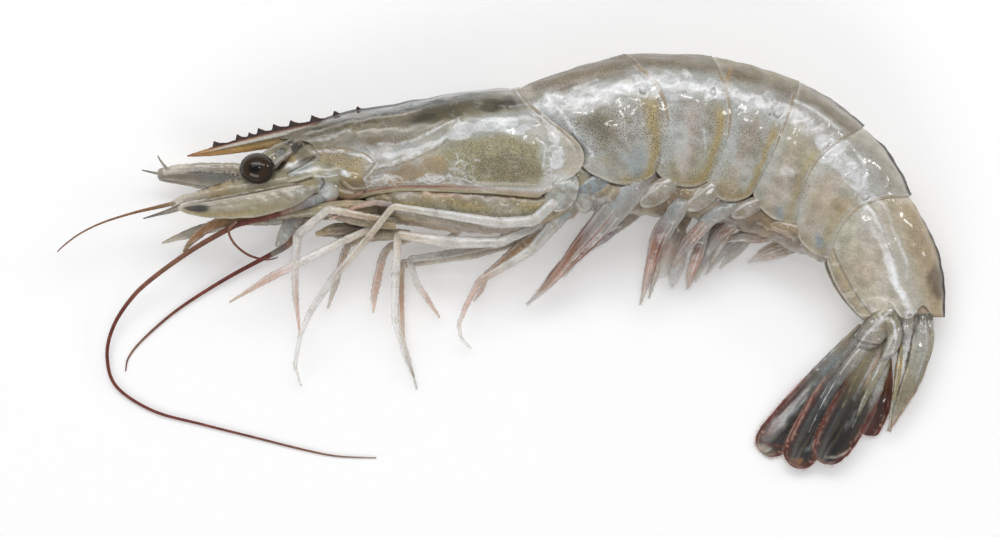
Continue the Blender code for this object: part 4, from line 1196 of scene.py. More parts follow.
def swept(name, line, sides=20, roll=0.0):
    """A stack laid along the rows of a line: place, half width, half thickness. Returns it with
    its points, and each one's place along and its side, from -1 to 1 across the flat."""
    piece, ring, turn = stack(name, len(line), sides)
    _, across, thin = ring_axes(line[:, :3], roll)
    edge, top = np.cos(turn), np.sin(turn)
    lay(piece, line[ring, :3] + across[ring] * (line[ring, 3] * edge)[:, None]
        + thin[ring] * (line[ring, 4] * top)[:, None])
    return piece, points_of(piece), ring / (len(line) - 1), edge


def limb(name, points, rings=81, sides=20, roll=0.0):
    return swept(name, flowing(points, rings), sides, roll)


def ball(name, centre, radii, turn=0.0, segments=48):
    """A sphere stretched to its radii and turned in the side view. Returns it with its points
    and their directions from its middle before it was stretched."""
    piece = start(name, bpy.ops.mesh.primitive_uv_sphere_add, segments=segments,
                  ring_count=segments * 2 // 3, radius=1)
    out = points_of(piece, 1.0)
    angle = math.radians(turn)
    x, y, z = (out * radii).T
    lay(piece, np.column_stack([
        centre[0] + x * math.cos(angle) - y * math.sin(angle),
        centre[1] + x * math.sin(angle) + y * math.cos(angle), centre[2] + z]))
    return piece, points_of(piece), out


def hairs(name, roots, tips, width):
    """Fine hairs from the roots to the tips, in one mesh. Returns it with the place along each."""
    piece = start(name, bpy.ops.mesh.primitive_cone_add, vertices=3, radius1=1, radius2=0.15,
                  depth=2)
    cut_lengthwise(piece, 2)
    modify(piece, "ARRAY", count=len(roots), use_relative_offset=False,
           use_constant_offset=True, constant_offset_displace=(HAIR_STEP, 0.0, 0.0))
    flat = points_of(piece, 1.0)
    which = np.rint(flat[:, 0] / HAIR_STEP).astype(int)
    along = (flat[:, 2] + 1) / 2
    way = unit(tips - roots)[which]
    side = unit(np.cross(way, (0.3, 0.2, 1.0)))
    across = (flat[:, 0] - HAIR_STEP * which)[:, None] * side + flat[:, 1:2] * np.cross(way, side)
    lay(piece, roots[which] + (tips - roots)[which] * along[:, None] + width * across)
    return piece, along


print("finishes so far:", [finish.name for finish in (SHELL, FLESH, LIMB, WHIP, EYE, FAN)])

# %% [markdown]
# ## Eyes
#
# A shrimp's eye is a dark glossy dome on a short stalk that swings out of the head. The dome is
# a sphere with a black middle in a brown ring. The stalk widens into a cup that holds it, and is
# blotched dark on olive. Both sides of the head are alike, so everything here is mirrored.

# %% Eyes and stalks
EYE_CENTRE = (-38.6, 14.7, 12.3)
EYE_RADII = (2.9, 2.5, 2.5)
EYE_RINGS = (0.0, 0.28, 0.42, 0.75, 0.93, 1.0)
EYE_TINTS = "pupil pitch iris soot jet collar"
STALK = ((-31.0, 18.9, 8.9, 0.9, 0.9), (-33.4, 18.2, 10.1, 1.25, 1.2), (-35.4, 17.1, 11.1, 1.5, 1.4),
         (-36.9, 15.9, 11.4, 1.7, 1.7))
STALK_BLOTCHES = (((-35.0, 17.4), (1.0, 0.5), 30), ((-32.4, 18.2), (1.1, 0.7), 25),
                  ((-33.5, 19.0), (0.8, 0.3), 20))
SIDES = (("left", 1.0), ("right", -1.0))


def on_side(points, side):
    """The same places on the head's left side (1), or mirrored to its right side (-1)."""
    placed = np.array(points, float)
    placed[..., 2] = HEAD_MIDDLE + side * (placed[..., 2] - HEAD_MIDDLE)
    return placed


def make_eye(word, side):
    piece, _, out = ball(f"eyeball_{word}", on_side(EYE_CENTRE, side), EYE_RADII)
    facing = out @ unit(np.array([-0.12, 0.02, side]))
    off_centre = np.sqrt(np.clip(1 - np.clip(facing, 0, 1) ** 2, 0, 1))
    tint = ground(EYE_RINGS, EYE_TINTS, off_centre)
    dab(tint, "bark", 0.7 * (facing < 0.0))
    dress(piece, EYE, "eye_black", f"eye_{word}", tint, speck=0.0, wet=0.0)


def make_stalk(word, side):
    piece, points, t, edge = limb(f"stalk_{word}", on_side(STALK, side), 61, 28)
    plane = points[:, :2] + 0.15 * ripple(points, 1.2, 51)[:, None]
    tint = graded("olive olive moss", t)
    glaze(tint,
          # The white line along the stalk is a painted highlight.
          white=0.75 * hump(edge, 0.6, 0.16),
          ink=0.6 * hump(edge, 0.85, 0.12),
          rose=0.5 * hump(edge, 0.9, 0.2))
    for blotch in STALK_BLOTCHES:
        dab(tint, "ink", 0.85 * patch(plane, *blotch, 0.35))
    height = 0.12 * hump(edge, 0.5, 0.15) - 0.1 * hump(t, 0.45, 0.05) + 0.05 * ripple(points, 1.0, 52)
    dress(piece, LIMB, "eyestalk_olive", f"eyestalk_{word}", tint, height, speck=0.4, wet=0.6)


for word, side in SIDES:
    make_eye(word, side)
    make_stalk(word, side)
print("eyes", EYE_RADII[0] * 2, "mm wide")

# %% [markdown]
# ## Roots of the antennae
#
# Behind the eye sit the pale, wet knuckles that carry the antennae. Each is a rounded lump of
# clear shell, so a few stretched spheres that run into each other give their outline. One small
# white sphere among them is a painted highlight.

# %% Knuckles
# Tint, centre, radii, turn, and the tint of its far side.
KNUCKLES = (
    ("reed", (-29.3, 13.4, 10.3), (6.6, 3.1, 3.0), 10, "fern"),
    ("haze", (-27.4, 11.6, 10.5), (2.3, 2.4, 2.2), 0, "haze"),
    ("umber", (-23.8, 12.8, 10.7), (3.6, 3.1, 2.0), 0, "ochre"),
    ("haze", (-28.2, 14.2, 11.0), (3.6, 1.4, 1.5), 12, "reed"),
    # This small white lump is a painted highlight, not a knuckle.
    ("white", (-24.7, 14.0, 12.2), (0.8, 0.55, 0.6), -30, "shine"),
    ("ochre", (-31.4, 14.4, 8.2), (7.6, 3.6, 3.2), 8, "olive"),
    ("olive", (-26.0, 17.4, 9.0), (8.2, 3.6, 3.4), 18, "moss"),
)
# What is painted over all of them: colour, strength, centre, radii, turn. The three near-white
# patches are painted highlights.
CHEEK_PATCHES = (
    ("gold", 0.7, (-36.6, 12.9), (2.6, 1.1), 18), ("ochre", 0.5, (-31.6, 12.2), (2.6, 1.2), 10),
    ("gold", 0.6, (-23.2, 13.6), (1.4, 2.2), 0), ("bark", 0.6, (-22.8, 11.8), (1.6, 0.8), -30),
    ("frost", 0.8, (-27.7, 11.2), (1.1, 1.2), 0), ("blue", 0.4, (-28.4, 12.6), (0.8, 1.0), 0),
    ("frost", 0.6, (-27.0, 14.0), (1.0, 0.4), 6), ("shine", 0.9, (-24.6, 14.0), (0.7, 0.5), -30),
    ("night", 0.9, (-34.9, 15.2), (1.5, 0.6), 40), ("shine", 0.9, (-32.7, 15.5), (1.3, 0.4), 24),
    ("blue", 0.6, (-31.6, 14.6), (2.2, 0.8), 22), ("shine", 0.7, (-30.8, 14.4), (2.2, 0.25), 14),
    ("dark_olive", 0.8, (-30.6, 16.3), (1.8, 0.3), 20),
)
# Lines over them: colour, strength, width, route. The white one is a painted highlight.
CHEEK_LINES = (
    ("ink", 0.85, 0.16, ((-28.3, 13.2), (-28.0, 12.4), (-28.5, 11.6))),
    ("white", 0.8, 0.14, ((-29.4, 13.5), (-27.6, 13.4), (-25.9, 13.7))),
    ("coral", 0.6, 0.35, ((-27.4, 9.6), (-24.6, 9.9), (-22.0, 10.8))),
    ("night", 0.9, 0.16, ((-37.0, 11.6), (-33.0, 12.3), (-29.8, 13.2))),
    ("milk", 0.8, 0.12, ((-36.6, 12.1), (-33.0, 12.8), (-30.0, 13.6))),
    ("ink", 0.8, 0.13, ((-34.0, 13.9), (-31.8, 15.0), (-29.4, 16.6))),
    ("milk", 0.8, 0.1, ((-33.4, 13.9), (-31.4, 14.9), (-29.2, 16.1))),
    ("bark", 0.8, 0.13, ((-25.6, 12.9), (-24.6, 11.6), (-23.0, 10.9))),
    ("cream", 0.7, 0.12, ((-24.8, 12.6), (-23.4, 11.6), (-21.6, 11.6))),
)


def make_knuckle(index, word, side):
    colour, centre, radii, turn, far_colour = KNUCKLES[index]
    piece, points, out = ball(f"knuckle_{index + 1}_{word}", on_side(centre, side), radii, turn, 120)
    tint = ground((-1, 0, 1), f"{far_colour} {colour} {colour}", out[:, 0] + 0.4 * out[:, 1])
    plane = points[:, :2] + wandering(points, 1.6, 66, 0.2)
    slanted = points @ ((0.96, 0.26, 0.0), (-0.1, 0.37, 0.0), (0.0, 0.0, 1.0))
    grain = ripple(slanted * (0.3, 2.4, 1.0), 1.5, 68)
    glaze(tint, cream=0.35 * rise(grain, 0.1, 0.7), olive=0.6 * rise(-grain, 0.2, 0.8))
    for paint, strength, *spot in CHEEK_PATCHES:
        dab(tint, paint, strength * patch(plane, *spot, 0.6))
    for paint, strength, width, route in CHEEK_LINES:
        dab(tint, paint, strength * stroke(points[:, :2], route, width))
    dress(piece, LIMB, "joint_pale", f"antenna_base_{word}", tint,
          0.03 * ripple(points, 1.8, 61 + index) + 0.02 * grain, speck=0.2, wet=0.3)


for word, side in SIDES:
    for index in range(len(KNUCKLES)):
        make_knuckle(index, word, side)
print(len(KNUCKLES), "knuckles on each side")

# %% [markdown]
# ## Stems and scales
#
# In front of the mouth lie two pairs of long blades. The upper pair, the stems, carry two short
# whips each. The lower pair are leaf-shaped scales with a stiff rib along one edge, and the left
# one has a dark blotch near its tip. They are laid as limbs and pressed where ribs run.

# %% Head blades
# Their routes. Each point of a route: x, y, height, half width, half thickness.
STEM_LEFT = ((-28.8, 14.6, 11.0, 0.9, 0.7), (-32.0, 13.4, 11.4, 1.4, 0.9),
             (-36.8, 12.6, 11.5, 1.6, 0.9), (-41.6, 11.9, 11.2, 1.6, 0.8),
             (-45.6, 11.1, 10.8, 1.15, 0.7), (-48.6, 10.3, 10.4, 0.7, 0.6),
             (-51.2, 9.6, 9.8, 0.62, 0.55), (-52.6, 8.9, 9.4, 0.45, 0.4))
STEM_RIGHT = ((-33.4, 13.8, 7.0, 0.9, 0.6), (-39.0, 14.4, 7.0, 1.1, 0.6), (-47.2, 14.9, 6.8, 0.9, 0.55),
              (-52.0, 14.7, 6.5, 0.75, 0.5), (-54.0, 14.3, 6.3, 0.5, 0.4))
SCALE_LEFT = ((-29.8, 11.6, 12.0, 0.9, 0.6), (-33.0, 10.6, 13.0, 1.9, 0.7), (-38.0, 9.4, 12.9, 2.3, 0.6),
              (-42.0, 8.8, 12.6, 2.1, 0.55), (-46.0, 8.4, 12.3, 1.6, 0.5), (-49.4, 8.35, 11.9, 0.95, 0.4),
              (-51.2, 8.4, 11.6, 0.35, 0.25))
SCALE_RIGHT = ((-32.0, 12.8, 4.6, 1.2, 0.5), (-39.0, 13.0, 4.2, 2.0, 0.5), (-46.0, 13.5, 4.1, 2.2, 0.45),
               (-51.0, 13.8, 4.3, 1.6, 0.4), (-54.3, 13.9, 4.6, 1.1, 0.35), (-54.9, 13.9, 4.7, 0.7, 0.25))


def paint_ribs(edge, count, seed):
    """Fine lengthwise ribs across a blade, from 0 to 1."""
    places = np.linspace(-0.8, 0.8, count) + 0.08 * np.random.default_rng(seed).normal(size=count)
    return np.max([hump(edge, place, 0.045) for place in places], axis=0)


def make_stem(word, route, roll, tints):
    piece, points, t, edge = limb(f"stem_{word}", route, 101, 32, roll)
    tint = graded(tints, t)
    hairline = rise(ripple(points, 0.5, 71) + 2.5 * hump(edge, -0.8, 0.4), 1.5, 2.1)
    glaze(tint,
          ink=0.8 * hairline * rise(t, 0.25, 0.4) * (1 - rise(t, 0.75, 0.85)),
          cream=0.3 * hump(edge, 0.15 + 0.2 * ripple(points, 4.0, 72), 0.15),
          umber=0.55 * hump(edge, 0.5, 0.1) * (1 - rise(t, 0.5, 0.7)))
    dress(piece, LIMB, "antennule_tan", f"antennule_stem_{word}", tint,
          0.08 * ripple(points, 1.4, 73) + 0.1 * hump(edge, 0.15, 0.15), speck=0.5, wet=0.5)


def make_scale(word, route, roll, tints, blotch):
    piece, points, t, edge = limb(f"scale_{word}", route, 101, 48, roll)
    tint = graded(tints, t)
    streak = ripple(points * (0.08, 1.0, 1.0), 1.3, 74)
    rib = hump(edge, -0.72, 0.09)
    dark = patch(np.column_stack([t, edge]), (0.86, 0.05), (0.095, 0.5), 0, 0.35) * blotch
    glaze(tint,
          umber=0.2 + 0.3 * blotch * rise(streak, 0.0, 0.9),
          milk=0.12 * rise(-streak, 0.2, 0.9),
          gold=0.5 * hump(edge, 0.7, 0.25) * rise(t, 0.3, 0.6) * blotch,
          ivory=0.85 * hump(edge, -0.5, 0.12) * (1 - rise(t, 0.93, 1.0)),
          bark=(0.3 + 0.6 * blotch) * rib,
          sand=0.6 * rise(edge, 0.75, 0.95),
          night=0.9 * dark,
          cream=0.8 * rise(t, 0.955, 0.985))
    height = 0.16 * hump(edge, -0.6, 0.12) - 0.12 * rib + 0.05 * ripple(points, 1.6, 75)
    dress(piece, LIMB, "antennule_tan", f"antenna_scale_{word}", tint,
          height + 0.05 * paint_ribs(edge, 5, 76), speck=0.3, wet=0.2, dull=0.8 * dark,
          clear=0.2 * (1 - blotch))


make_stem("left", STEM_LEFT, 20, "stone fern moss reed ochre cream cream")
make_stem("right", STEM_RIGHT, 170, "moss sand stone cream")
make_scale("left", SCALE_LEFT, 12, "haze moss fern reed moss cream", 1.0)
make_scale("right", SCALE_RIGHT, 172, "grey mist frost mist sand ivory", 0.0)
print("stems and scales laid")

# %% [markdown]
# ## Whips
#
# The feelers are whips of hundreds of tiny rings. A curve with a bevel would do for a cable, but
# a whip tapers from a thick jointed root to a thread and has a fine ripple along it, so it is a
# limb with a great many rings.

# %% Whips
# For each: its number of rings, the shares of its length at which the tints are reached, the
# tints from root to tip, and the route as x, y, height and radius.
WHIPS = {
    "antenna_whip_left": (
        601, (0.0, 0.03, 0.05, 0.068, 0.084, 0.094, 0.3, 0.42, 0.7, 0.9, 1.0),
        "mist mist lilac rose coral blood brick blood blood brick rose",
        ((-26.6, 10.6, 11.0, 0.6), (-30.4, 9.5, 12.0, 0.9), (-34.6, 8.1, 11.8, 0.8),
         (-38.1, 6.9, 10.9, 0.62), (-41.4, 6.0, 10.0, 0.5), (-43.6, 5.0, 9.3, 0.45),
         (-49.6, 1.6, 7.0, 0.42), (-56.0, -2.9, 4.4, 0.38), (-59.5, -6.2, 3.1, 0.34),
         (-62.4, -10.7, 1.9, 0.31), (-63.4, -15.5, 1.1, 0.29), (-61.9, -20.3, 0.6, 0.27),
         (-56.0, -24.2, 0.4, 0.25), (-48.0, -26.4, 0.35, 0.22), (-40.0, -28.4, 0.3, 0.2),
         (-32.0, -30.4, 0.26, 0.18), (-26.4, -31.5, 0.22, 0.15), (-20.0, -31.8, 0.2, 0.1))),
    "antenna_whip_right": (
        401, (0.0, 0.1, 0.16, 0.2, 0.235, 0.25, 0.6, 0.9, 1.0),
        "ivory coral coral lilac ivory blood blood brick brick",
        ((-30.0, 8.0, 3.6, 0.7), (-32.0, 5.5, 3.2, 0.65), (-33.9, 2.9, 2.7, 0.55), (-36.2, 1.4, 2.2, 0.5),
         (-38.2, 0.4, 1.8, 0.38), (-44.5, -3.0, 1.0, 0.32), (-52.0, -7.8, 0.5, 0.25),
         (-57.6, -12.6, 0.3, 0.19), (-60.0, -15.6, 0.24, 0.15), (-60.5, -17.8, 0.2, 0.1))),
    "palp_whip": (
        201, (0.0, 0.15, 0.8, 1.0), "coral brick blood lilac",
        ((-42.0, 6.3, 11.0, 0.24), (-43.0, 5.4, 10.6, 0.22), (-43.2, 4.2, 10.1, 0.21),
         (-42.2, 2.5, 9.3, 0.2), (-40.3, 1.0, 8.5, 0.2), (-38.1, 0.3, 7.9, 0.18), (-36.6, 0.3, 7.5, 0.15),
         (-35.6, 0.6, 7.2, 0.12))),
    "antennule_whip_left_upper": (
        301, (0.0, 0.2, 0.7, 1.0), "sand rust rust brick",
        ((-51.0, 9.5, 9.9, 0.34), (-53.4, 8.9, 9.6, 0.33), (-55.6, 8.4, 9.2, 0.28),
         (-58.2, 7.8, 8.7, 0.22), (-61.4, 6.9, 8.0, 0.18), (-64.5, 5.8, 7.2, 0.16),
         (-67.5, 4.3, 6.2, 0.14), (-69.9, 2.6, 5.2, 0.12), (-71.1, 1.5, 4.6, 0.09))),
    "antennule_whip_left_lower": (
        61, (0.0, 0.5, 1.0), "cream stone lilac",
        ((-51.0, 8.6, 9.1, 0.5), (-52.8, 8.0, 8.6, 0.42), (-54.6, 7.5, 8.1, 0.26),
         (-57.1, 6.8, 7.4, 0.1))),
    "antennule_whip_right_upper": (
        41, (0.0, 0.6, 1.0), "cream stone stone",
        ((-53.2, 14.6, 6.7, 0.3), (-54.3, 15.9, 6.4, 0.18), (-54.9, 16.9, 6.2, 0.09))),
    "antennule_whip_right_lower": (
        61, (0.0, 0.5, 1.0), "cream stone smoke",
        ((-53.4, 13.9, 6.1, 0.34), (-55.2, 14.1, 5.7, 0.22), (-57.5, 14.6, 5.0, 0.1))),
}
WHIP_SHADE = 0.6


def make_whip(node):
    rings, stops, tints, route = WHIPS[node]
    route = np.array(route)
    route[:, 2] = np.maximum(route[:, 2], route[:, 3])
    line = flowing(np.column_stack([route, route[:, 3]]), rings)
    beads = 1 + 0.025 * np.sin(np.arange(rings) * math.pi / 2.0)
    line[:, 3:] *= beads[:, None]
    piece, _, t, edge = swept(node.replace("whip", "thread"), line, 12)
    tint = ground(stops, tints, t)
    bands = ripple(np.outer(t * rings, (0.3, 0.0, 0.0)), 1.5, 81)
    tint *= WHIP_SHADE * (1 + 0.22 * bands)[:, None]
    dab(tint, "coral", 0.15 * hump(edge, -0.6, 0.3) * (1 - rise(t, 0.5, 0.9)))
    slot = "antennule_tan" if node.startswith("antennule") else "antenna_red"
    dress(piece, WHIP, slot, node, tint, speck=0.3, wet=0.2)


for node in WHIPS:
    make_whip(node)
print(len(WHIPS), "whips; the longest has", WHIPS["antenna_whip_left"][0], "rings")

# %% [markdown]
# ## The soft underside
#
# Under the shield's rim the chest is soft: uneven ochre and brown flesh, with painted shade where
# it tucks under the rim. It is one limb laid from head to tail, wider than it is deep. Around the
# mouth lie the jaw feet, folded forwards. They are short limbs that overlap each other.

# %% Chest and mouth
CHEST = ((-21.4, 9.6, 7.95, 1.6, 3.4), (-17.0, 9.6, 7.95, 3.4, 4.9), (-10.0, 9.4, 7.95, 4.4, 5.5),
         (-2.0, 9.0, 7.95, 4.6, 5.9), (5.0, 8.9, 7.95, 3.9, 5.9), (9.6, 9.4, 7.95, 3.2, 5.2),
         (14.0, 10.6, 8.1, 1.6, 3.4))
MOUTH = ((-21.2, 8.6, 7.95, 1.0, 1.6), (-24.4, 9.6, 7.95, 1.8, 2.2), (-27.2, 10.9, 7.95, 2.7, 2.4),
         (-30.0, 11.9, 7.95, 3.2, 2.3), (-33.0, 12.2, 7.95, 2.6, 1.7))
# Jaw feet: name, tints from root to tip, roll, route.
JAW_FEET = (
    ("jaw_foot_1", "ochre sand rose tan", 10,
     ((-16.6, 5.6, 11.4, 0.7, 0.5), (-20.8, 6.3, 11.6, 1.0, 0.6), (-24.4, 6.9, 11.7, 0.9, 0.6),
      (-28.4, 8.2, 11.4, 0.7, 0.5), (-31.4, 9.4, 10.6, 0.3, 0.3))),
    ("jaw_foot_2", "umber bark shade ochre", 0,
     ((-19.0, 4.6, 9.4, 0.6, 0.6), (-22.8, 5.0, 9.8, 1.1, 0.8), (-26.4, 4.9, 9.6, 1.1, 0.8),
      (-29.4, 4.3, 9.2, 0.35, 0.3))),
    ("jaw_foot_3", "moss sand tan sand", 0,
     ((-14.4, 4.2, 8.6, 0.8, 0.8), (-18.8, 4.2, 9.0, 1.0, 0.9), (-23.0, 3.7, 8.9, 0.7, 0.6),
      (-26.6, 4.0, 8.4, 0.25, 0.25))),
    ("jaw_foot_4", "lilac rose coral rose", 0,
     ((-17.2, 9.0, 12.6, 0.45, 0.4), (-20.0, 9.2, 12.7, 0.5, 0.4), (-22.4, 8.6, 12.7, 0.4, 0.35),
      (-24.8, 7.7, 12.5, 0.3, 0.3), (-27.2, 6.5, 12.2, 0.15, 0.15))),
    ("jaw_foot_5", "umber ochre moss tan", 0,
     ((-19.5, 8.4, 10.8, 0.9, 0.8), (-23.5, 8.6, 11.2, 1.2, 0.9), (-28.0, 8.2, 11.2, 1.2, 0.9),
      (-32.0, 7.8, 10.4, 0.9, 0.7), (-35.6, 7.0, 9.6, 0.5, 0.4))),
    ("jaw_foot_6", "tan moss stone moss", 0,
     ((-27.4, 7.4, 8.2, 0.8, 0.7), (-31.4, 7.4, 8.6, 1.0, 0.8), (-36.0, 6.6, 8.6, 0.9, 0.6),
      (-41.0, 6.2, 8.6, 0.5, 0.4))),
    ("cheek_leaf", "stone smoke mist grey", 0,
     ((-31.4, 7.6, 9.6, 0.8, 0.3), (-32.6, 6.6, 9.6, 1.3, 0.3), (-34.0, 5.0, 9.2, 1.2, 0.25),
      (-35.2, 3.2, 8.6, 0.7, 0.2), (-35.8, 2.3, 8.2, 0.2, 0.12))),
    ("long_jaw_foot_left", "tan ochre rust rust tan", 10,
     ((-37.0, 6.9, 8.8, 0.9, 0.5), (-42.4, 6.5, 8.4, 0.9, 0.5), (-45.8, 5.8, 7.8, 0.85, 0.5),
      (-48.2, 4.3, 6.9, 0.7, 0.4), (-49.8, 2.8, 6.0, 0.5, 0.3), (-50.8, 1.5, 5.4, 0.2, 0.15))),
    ("long_jaw_foot_right", "grey moss stone stone cream", 170,
     ((-36.5, 7.2, 7.0, 0.9, 0.4), (-42.5, 6.4, 6.2, 1.0, 0.4), (-46.5, 5.4, 5.3, 0.95, 0.4),
      (-50.2, 4.3, 4.5, 0.75, 0.3), (-54.4, 2.9, 3.6, 0.15, 0.12))),
)
# The ones with a node of their own, and its slot. The others belong to the mouth.
JAW_NODES = {"cheek_leaf": ("mouth_leaf", "leg_pale"),
             "long_jaw_foot_left": ("maxilliped_left", "antennule_tan"),
             "long_jaw_foot_right": ("maxilliped_right", "antennule_tan")}


def make_chest():
    piece, points, _, edge = limb("chest_flesh", CHEST, 121, 48)
    x, y = points[:, 0], points[:, 1]
    # Painted shade: darker towards the side that tucks under the shield's rim.
    tint = ground((-1, -0.6, -0.2, 0.4, 1), "rose sand fern umber shade", edge)
    blots = ripple(points * (0.4, 1.0, 1.0), 2.2, 91)
    glaze(tint,
          gold=0.5 * rise(blots, 0.1, 0.8),
          stone=0.6 * rise(-blots, 0.1, 0.8),
          coral=0.5 * hump(y, 10.5, 0.25) * rise(x, -16.0, -8.0),
          shade=0.5 * rise(ripple(points, 1.6, 92), 0.5, 1.1))
    dab(tint, "shade", 0.8 * rise(-x, 14.0, 19.0) * (1 - rise(y, 9.0, 10.6)))
    dress(piece, FLESH, "thorax_flesh", "thorax_underside", tint,
          0.16 * ripple(points, 2.4, 93) + 0.08 * ripple(points, 0.9, 94), speck=0.6, wet=0.7)


def make_mouth():
    piece, points, _, edge = limb("mouth_flesh", MOUTH, 81, 40)
    tint = ground((-1, 0, 1), "tan umber ochre", edge)
    glaze(tint,
          ink=0.85 * patch(points[:, :2], (-23.4, 8.8), (2.4, 0.9), 8, 0.5),
          sand=0.6 * rise(ripple(points, 1.8, 95), 0.1, 0.9))
    dress(piece, FLESH, "thorax_flesh", "mouth_frame", tint,
          0.15 * ripple(points, 1.5, 96) + 0.12 * ripple(points, 3.0, 97), speck=0.4, wet=0.7)


def make_jaw_foot(name, tints, roll, route):
    node, slot = JAW_NODES.get(name, ("mouth_frame", "thorax_flesh"))
    piece, points, t, edge = limb(name, route, 81, 24, roll)
    tint = graded(tints, t)
    glaze(tint,
          ivory=0.45 * hump(edge, -0.75, 0.2),
          umber=0.5 * hump(edge, 0.8, 0.25),
          ink=0.45 * hump(edge, 0.97, 0.05),
          sand=0.4 * rise(ripple(points, 1.4, 98), 0.3, 1.0))
    dress(piece, FLESH if slot == "thorax_flesh" else LIMB, slot, node, tint,
          0.05 * ripple(points, 1.1, 99) + 0.05 * paint_ribs(edge, 4, 100),
          speck=0.45, wet=0.5, clear=0.25 * (slot == "leg_pale"))


make_chest()
make_mouth()
for row in JAW_FEET:
    make_jaw_foot(*row)
print(2 + len(JAW_FEET), "soft pieces under the head and chest")

# %% [markdown]
# ## Walking legs
#
# A leg is walked like the joint lines: each length and heading ends at a knee. The route is then
# a broken line with soft corners. Leg shell is thin and clear: the middle shows grey flesh, two
# near-white lines along it are painted highlights, and each joint is a pale collar with a dark seam.

# %% Walking legs
# Hip and start (x, y, height, radius), lengths (length, heading, end height, end radius), tints.
LEGS = {
    "leg_left_1": (
        (-16.6, 6.8, 10.4, 0.5), (-19.6, 5.6, 11.2, 0.55),
        ((5.7, -156, 10.4, 0.55), (8.0, -154, 9.6, 0.6), (5.4, -153, 8.4, 0.55), (7.6, -149, 6.6, 0.15)),
        "ivory milk white coral gold"),
    "leg_left_2": (
        (-18.4, 6.6, 12.2, 0.45), (-21.6, 7.1, 13.3, 0.5),
        ((3.4, 168, 13.0, 0.55), (2.4, 170, 12.4, 0.6), (6.4, -142, 9.0, 0.65), (4.9, -97, 6.3, 0.6),
         (5.1, -89, 4.6, 0.45), (5.8, -84, 3.4, 0.15)),
        "tan ivory milk pearl white rose coral"),
    "leg_left_3": (
        (10.0, 10.6, 13.6, 0.9), (5.4, 6.4, 13.9, 0.85),
        ((5.5, -176, 13.8, 0.8), (10.3, 171, 13.8, 0.6), (6.8, 171, 13.4, 0.5), (6.6, -129, 12.6, 0.5),
         (8.5, -131, 10.2, 0.55), (6.2, -125, 7.6, 0.45), (4.2, -115, 5.6, 0.35), (5.2, -101, 3.0, 0.28),
         (3.4, -74, 1.4, 0.14)),
        "frost pearl frost ivory ivory pearl pearl white white milk"),
    "leg_left_4": (
        (8.2, 8.2, 10.4, 0.6), (5.2, 5.2, 11.6, 0.6),
        ((5.8, -157, 11.7, 0.75), (8.0, 180, 12.0, 0.9), (8.2, 171, 11.6, 0.6), (6.1, -94, 9.6, 0.6),
         (7.5, -92, 6.4, 0.5), (6.3, -74, 4.0, 0.35), (3.6, -68, 2.9, 0.14)),
        "mist frost pearl ivory white white pearl shade"),
    "leg_left_5": (
        (12.6, 10.8, 9.8, 0.9), (10.9, 8.2, 10.8, 0.9),
        ((3.4, -135, 10.8, 1.0), (5.3, -131, 10.2, 0.7), (4.2, -148, 9.4, 0.6), (5.5, -150, 8.4, 0.5),
         (4.4, -118, 6.0, 0.4), (3.4, -112, 3.8, 0.3), (2.1, -81, 2.6, 0.25), (2.4, -48, 1.6, 0.14)),
        "blue mist frost frost rose coral milk white milk"),
    "leg_right_1": (
        (-16.6, 7.0, 6.0, 0.5), (-19.0, 5.0, 4.4, 0.5),
        ((5.8, -156, 4.2, 0.5), (1.6, -119, 3.9, 0.5), (5.3, -106, 2.8, 0.5), (4.0, -108, 1.6, 0.15)),
        "tan sand rose sand stone"),
    "leg_right_2": (
        (-6.0, 5.4, 6.6, 0.5), (-8.6, 3.2, 6.0, 0.5),
        ((5.6, 174, 5.6, 0.5), (4.2, -157, 5.2, 0.5), (2.1, -117, 4.8, 0.55), (3.8, -102, 4.2, 0.6),
         (2.1, -103, 3.8, 0.5), (2.9, -93, 3.2, 0.15)),
        "grey sand sand rose rust coral ivory"),
    "leg_right_3": (
        (2.2, 5.4, 5.0, 0.6), (-0.4, 2.8, 3.4, 0.6),
        ((9.0, -168, 3.5, 0.6), (5.5, -173, 3.4, 0.5), (4.4, -71, 2.9, 0.45), (2.5, -55, 2.6, 0.4),
         (3.8, -57, 2.0, 0.14)),
        "grey mist pearl white coral rose"),
    "leg_right_4": (
        (5.4, 5.6, 3.6, 0.6), (2.6, 3.0, 1.4, 0.6),
        ((7.2, -165, 1.5, 0.7), (11.8, -172, 1.6, 0.6), (4.5, -90, 1.4, 0.5), (7.7, -88, 1.0, 0.4),
         (2.9, -71, 0.7, 0.3), (5.4, -75, 0.3, 0.15)),
        "grey stone ivory rust ivory frost frost"),
    "leg_right_5": (
        (8.6, 7.2, 4.8, 0.8), (6.6, 4.6, 3.4, 0.8),
        ((3.4, -147, 3.2, 0.8), (3.1, -141, 2.8, 0.6), (4.9, -139, 2.2, 0.5), (2.1, -103, 1.8, 0.4),
         (2.5, -125, 1.4, 0.15)),
        "umber amber rust rose coral stone"),
}
KNEE = 0.9                    # the length over which a knee is rounded
LEG_THICKNESS = 0.82          # as a share of the width
LEG_WARMTH = (1.36, 1.3, 1.24)


def walk_leg(hip, start, podomeres):
    """The joints of a leg: x, y, height and radius of each."""
    joints = [hip, start]
    for length, heading, height, radius in podomeres:
        x, y = joints[-1][:2]
        angle = math.radians(heading)
        joints.append((x + length * math.cos(angle), y + length * math.sin(angle), height, radius))
    joints = np.array(joints)
    joints[:, 2] = np.maximum(joints[:, 2], joints[:, 3])
    return joints


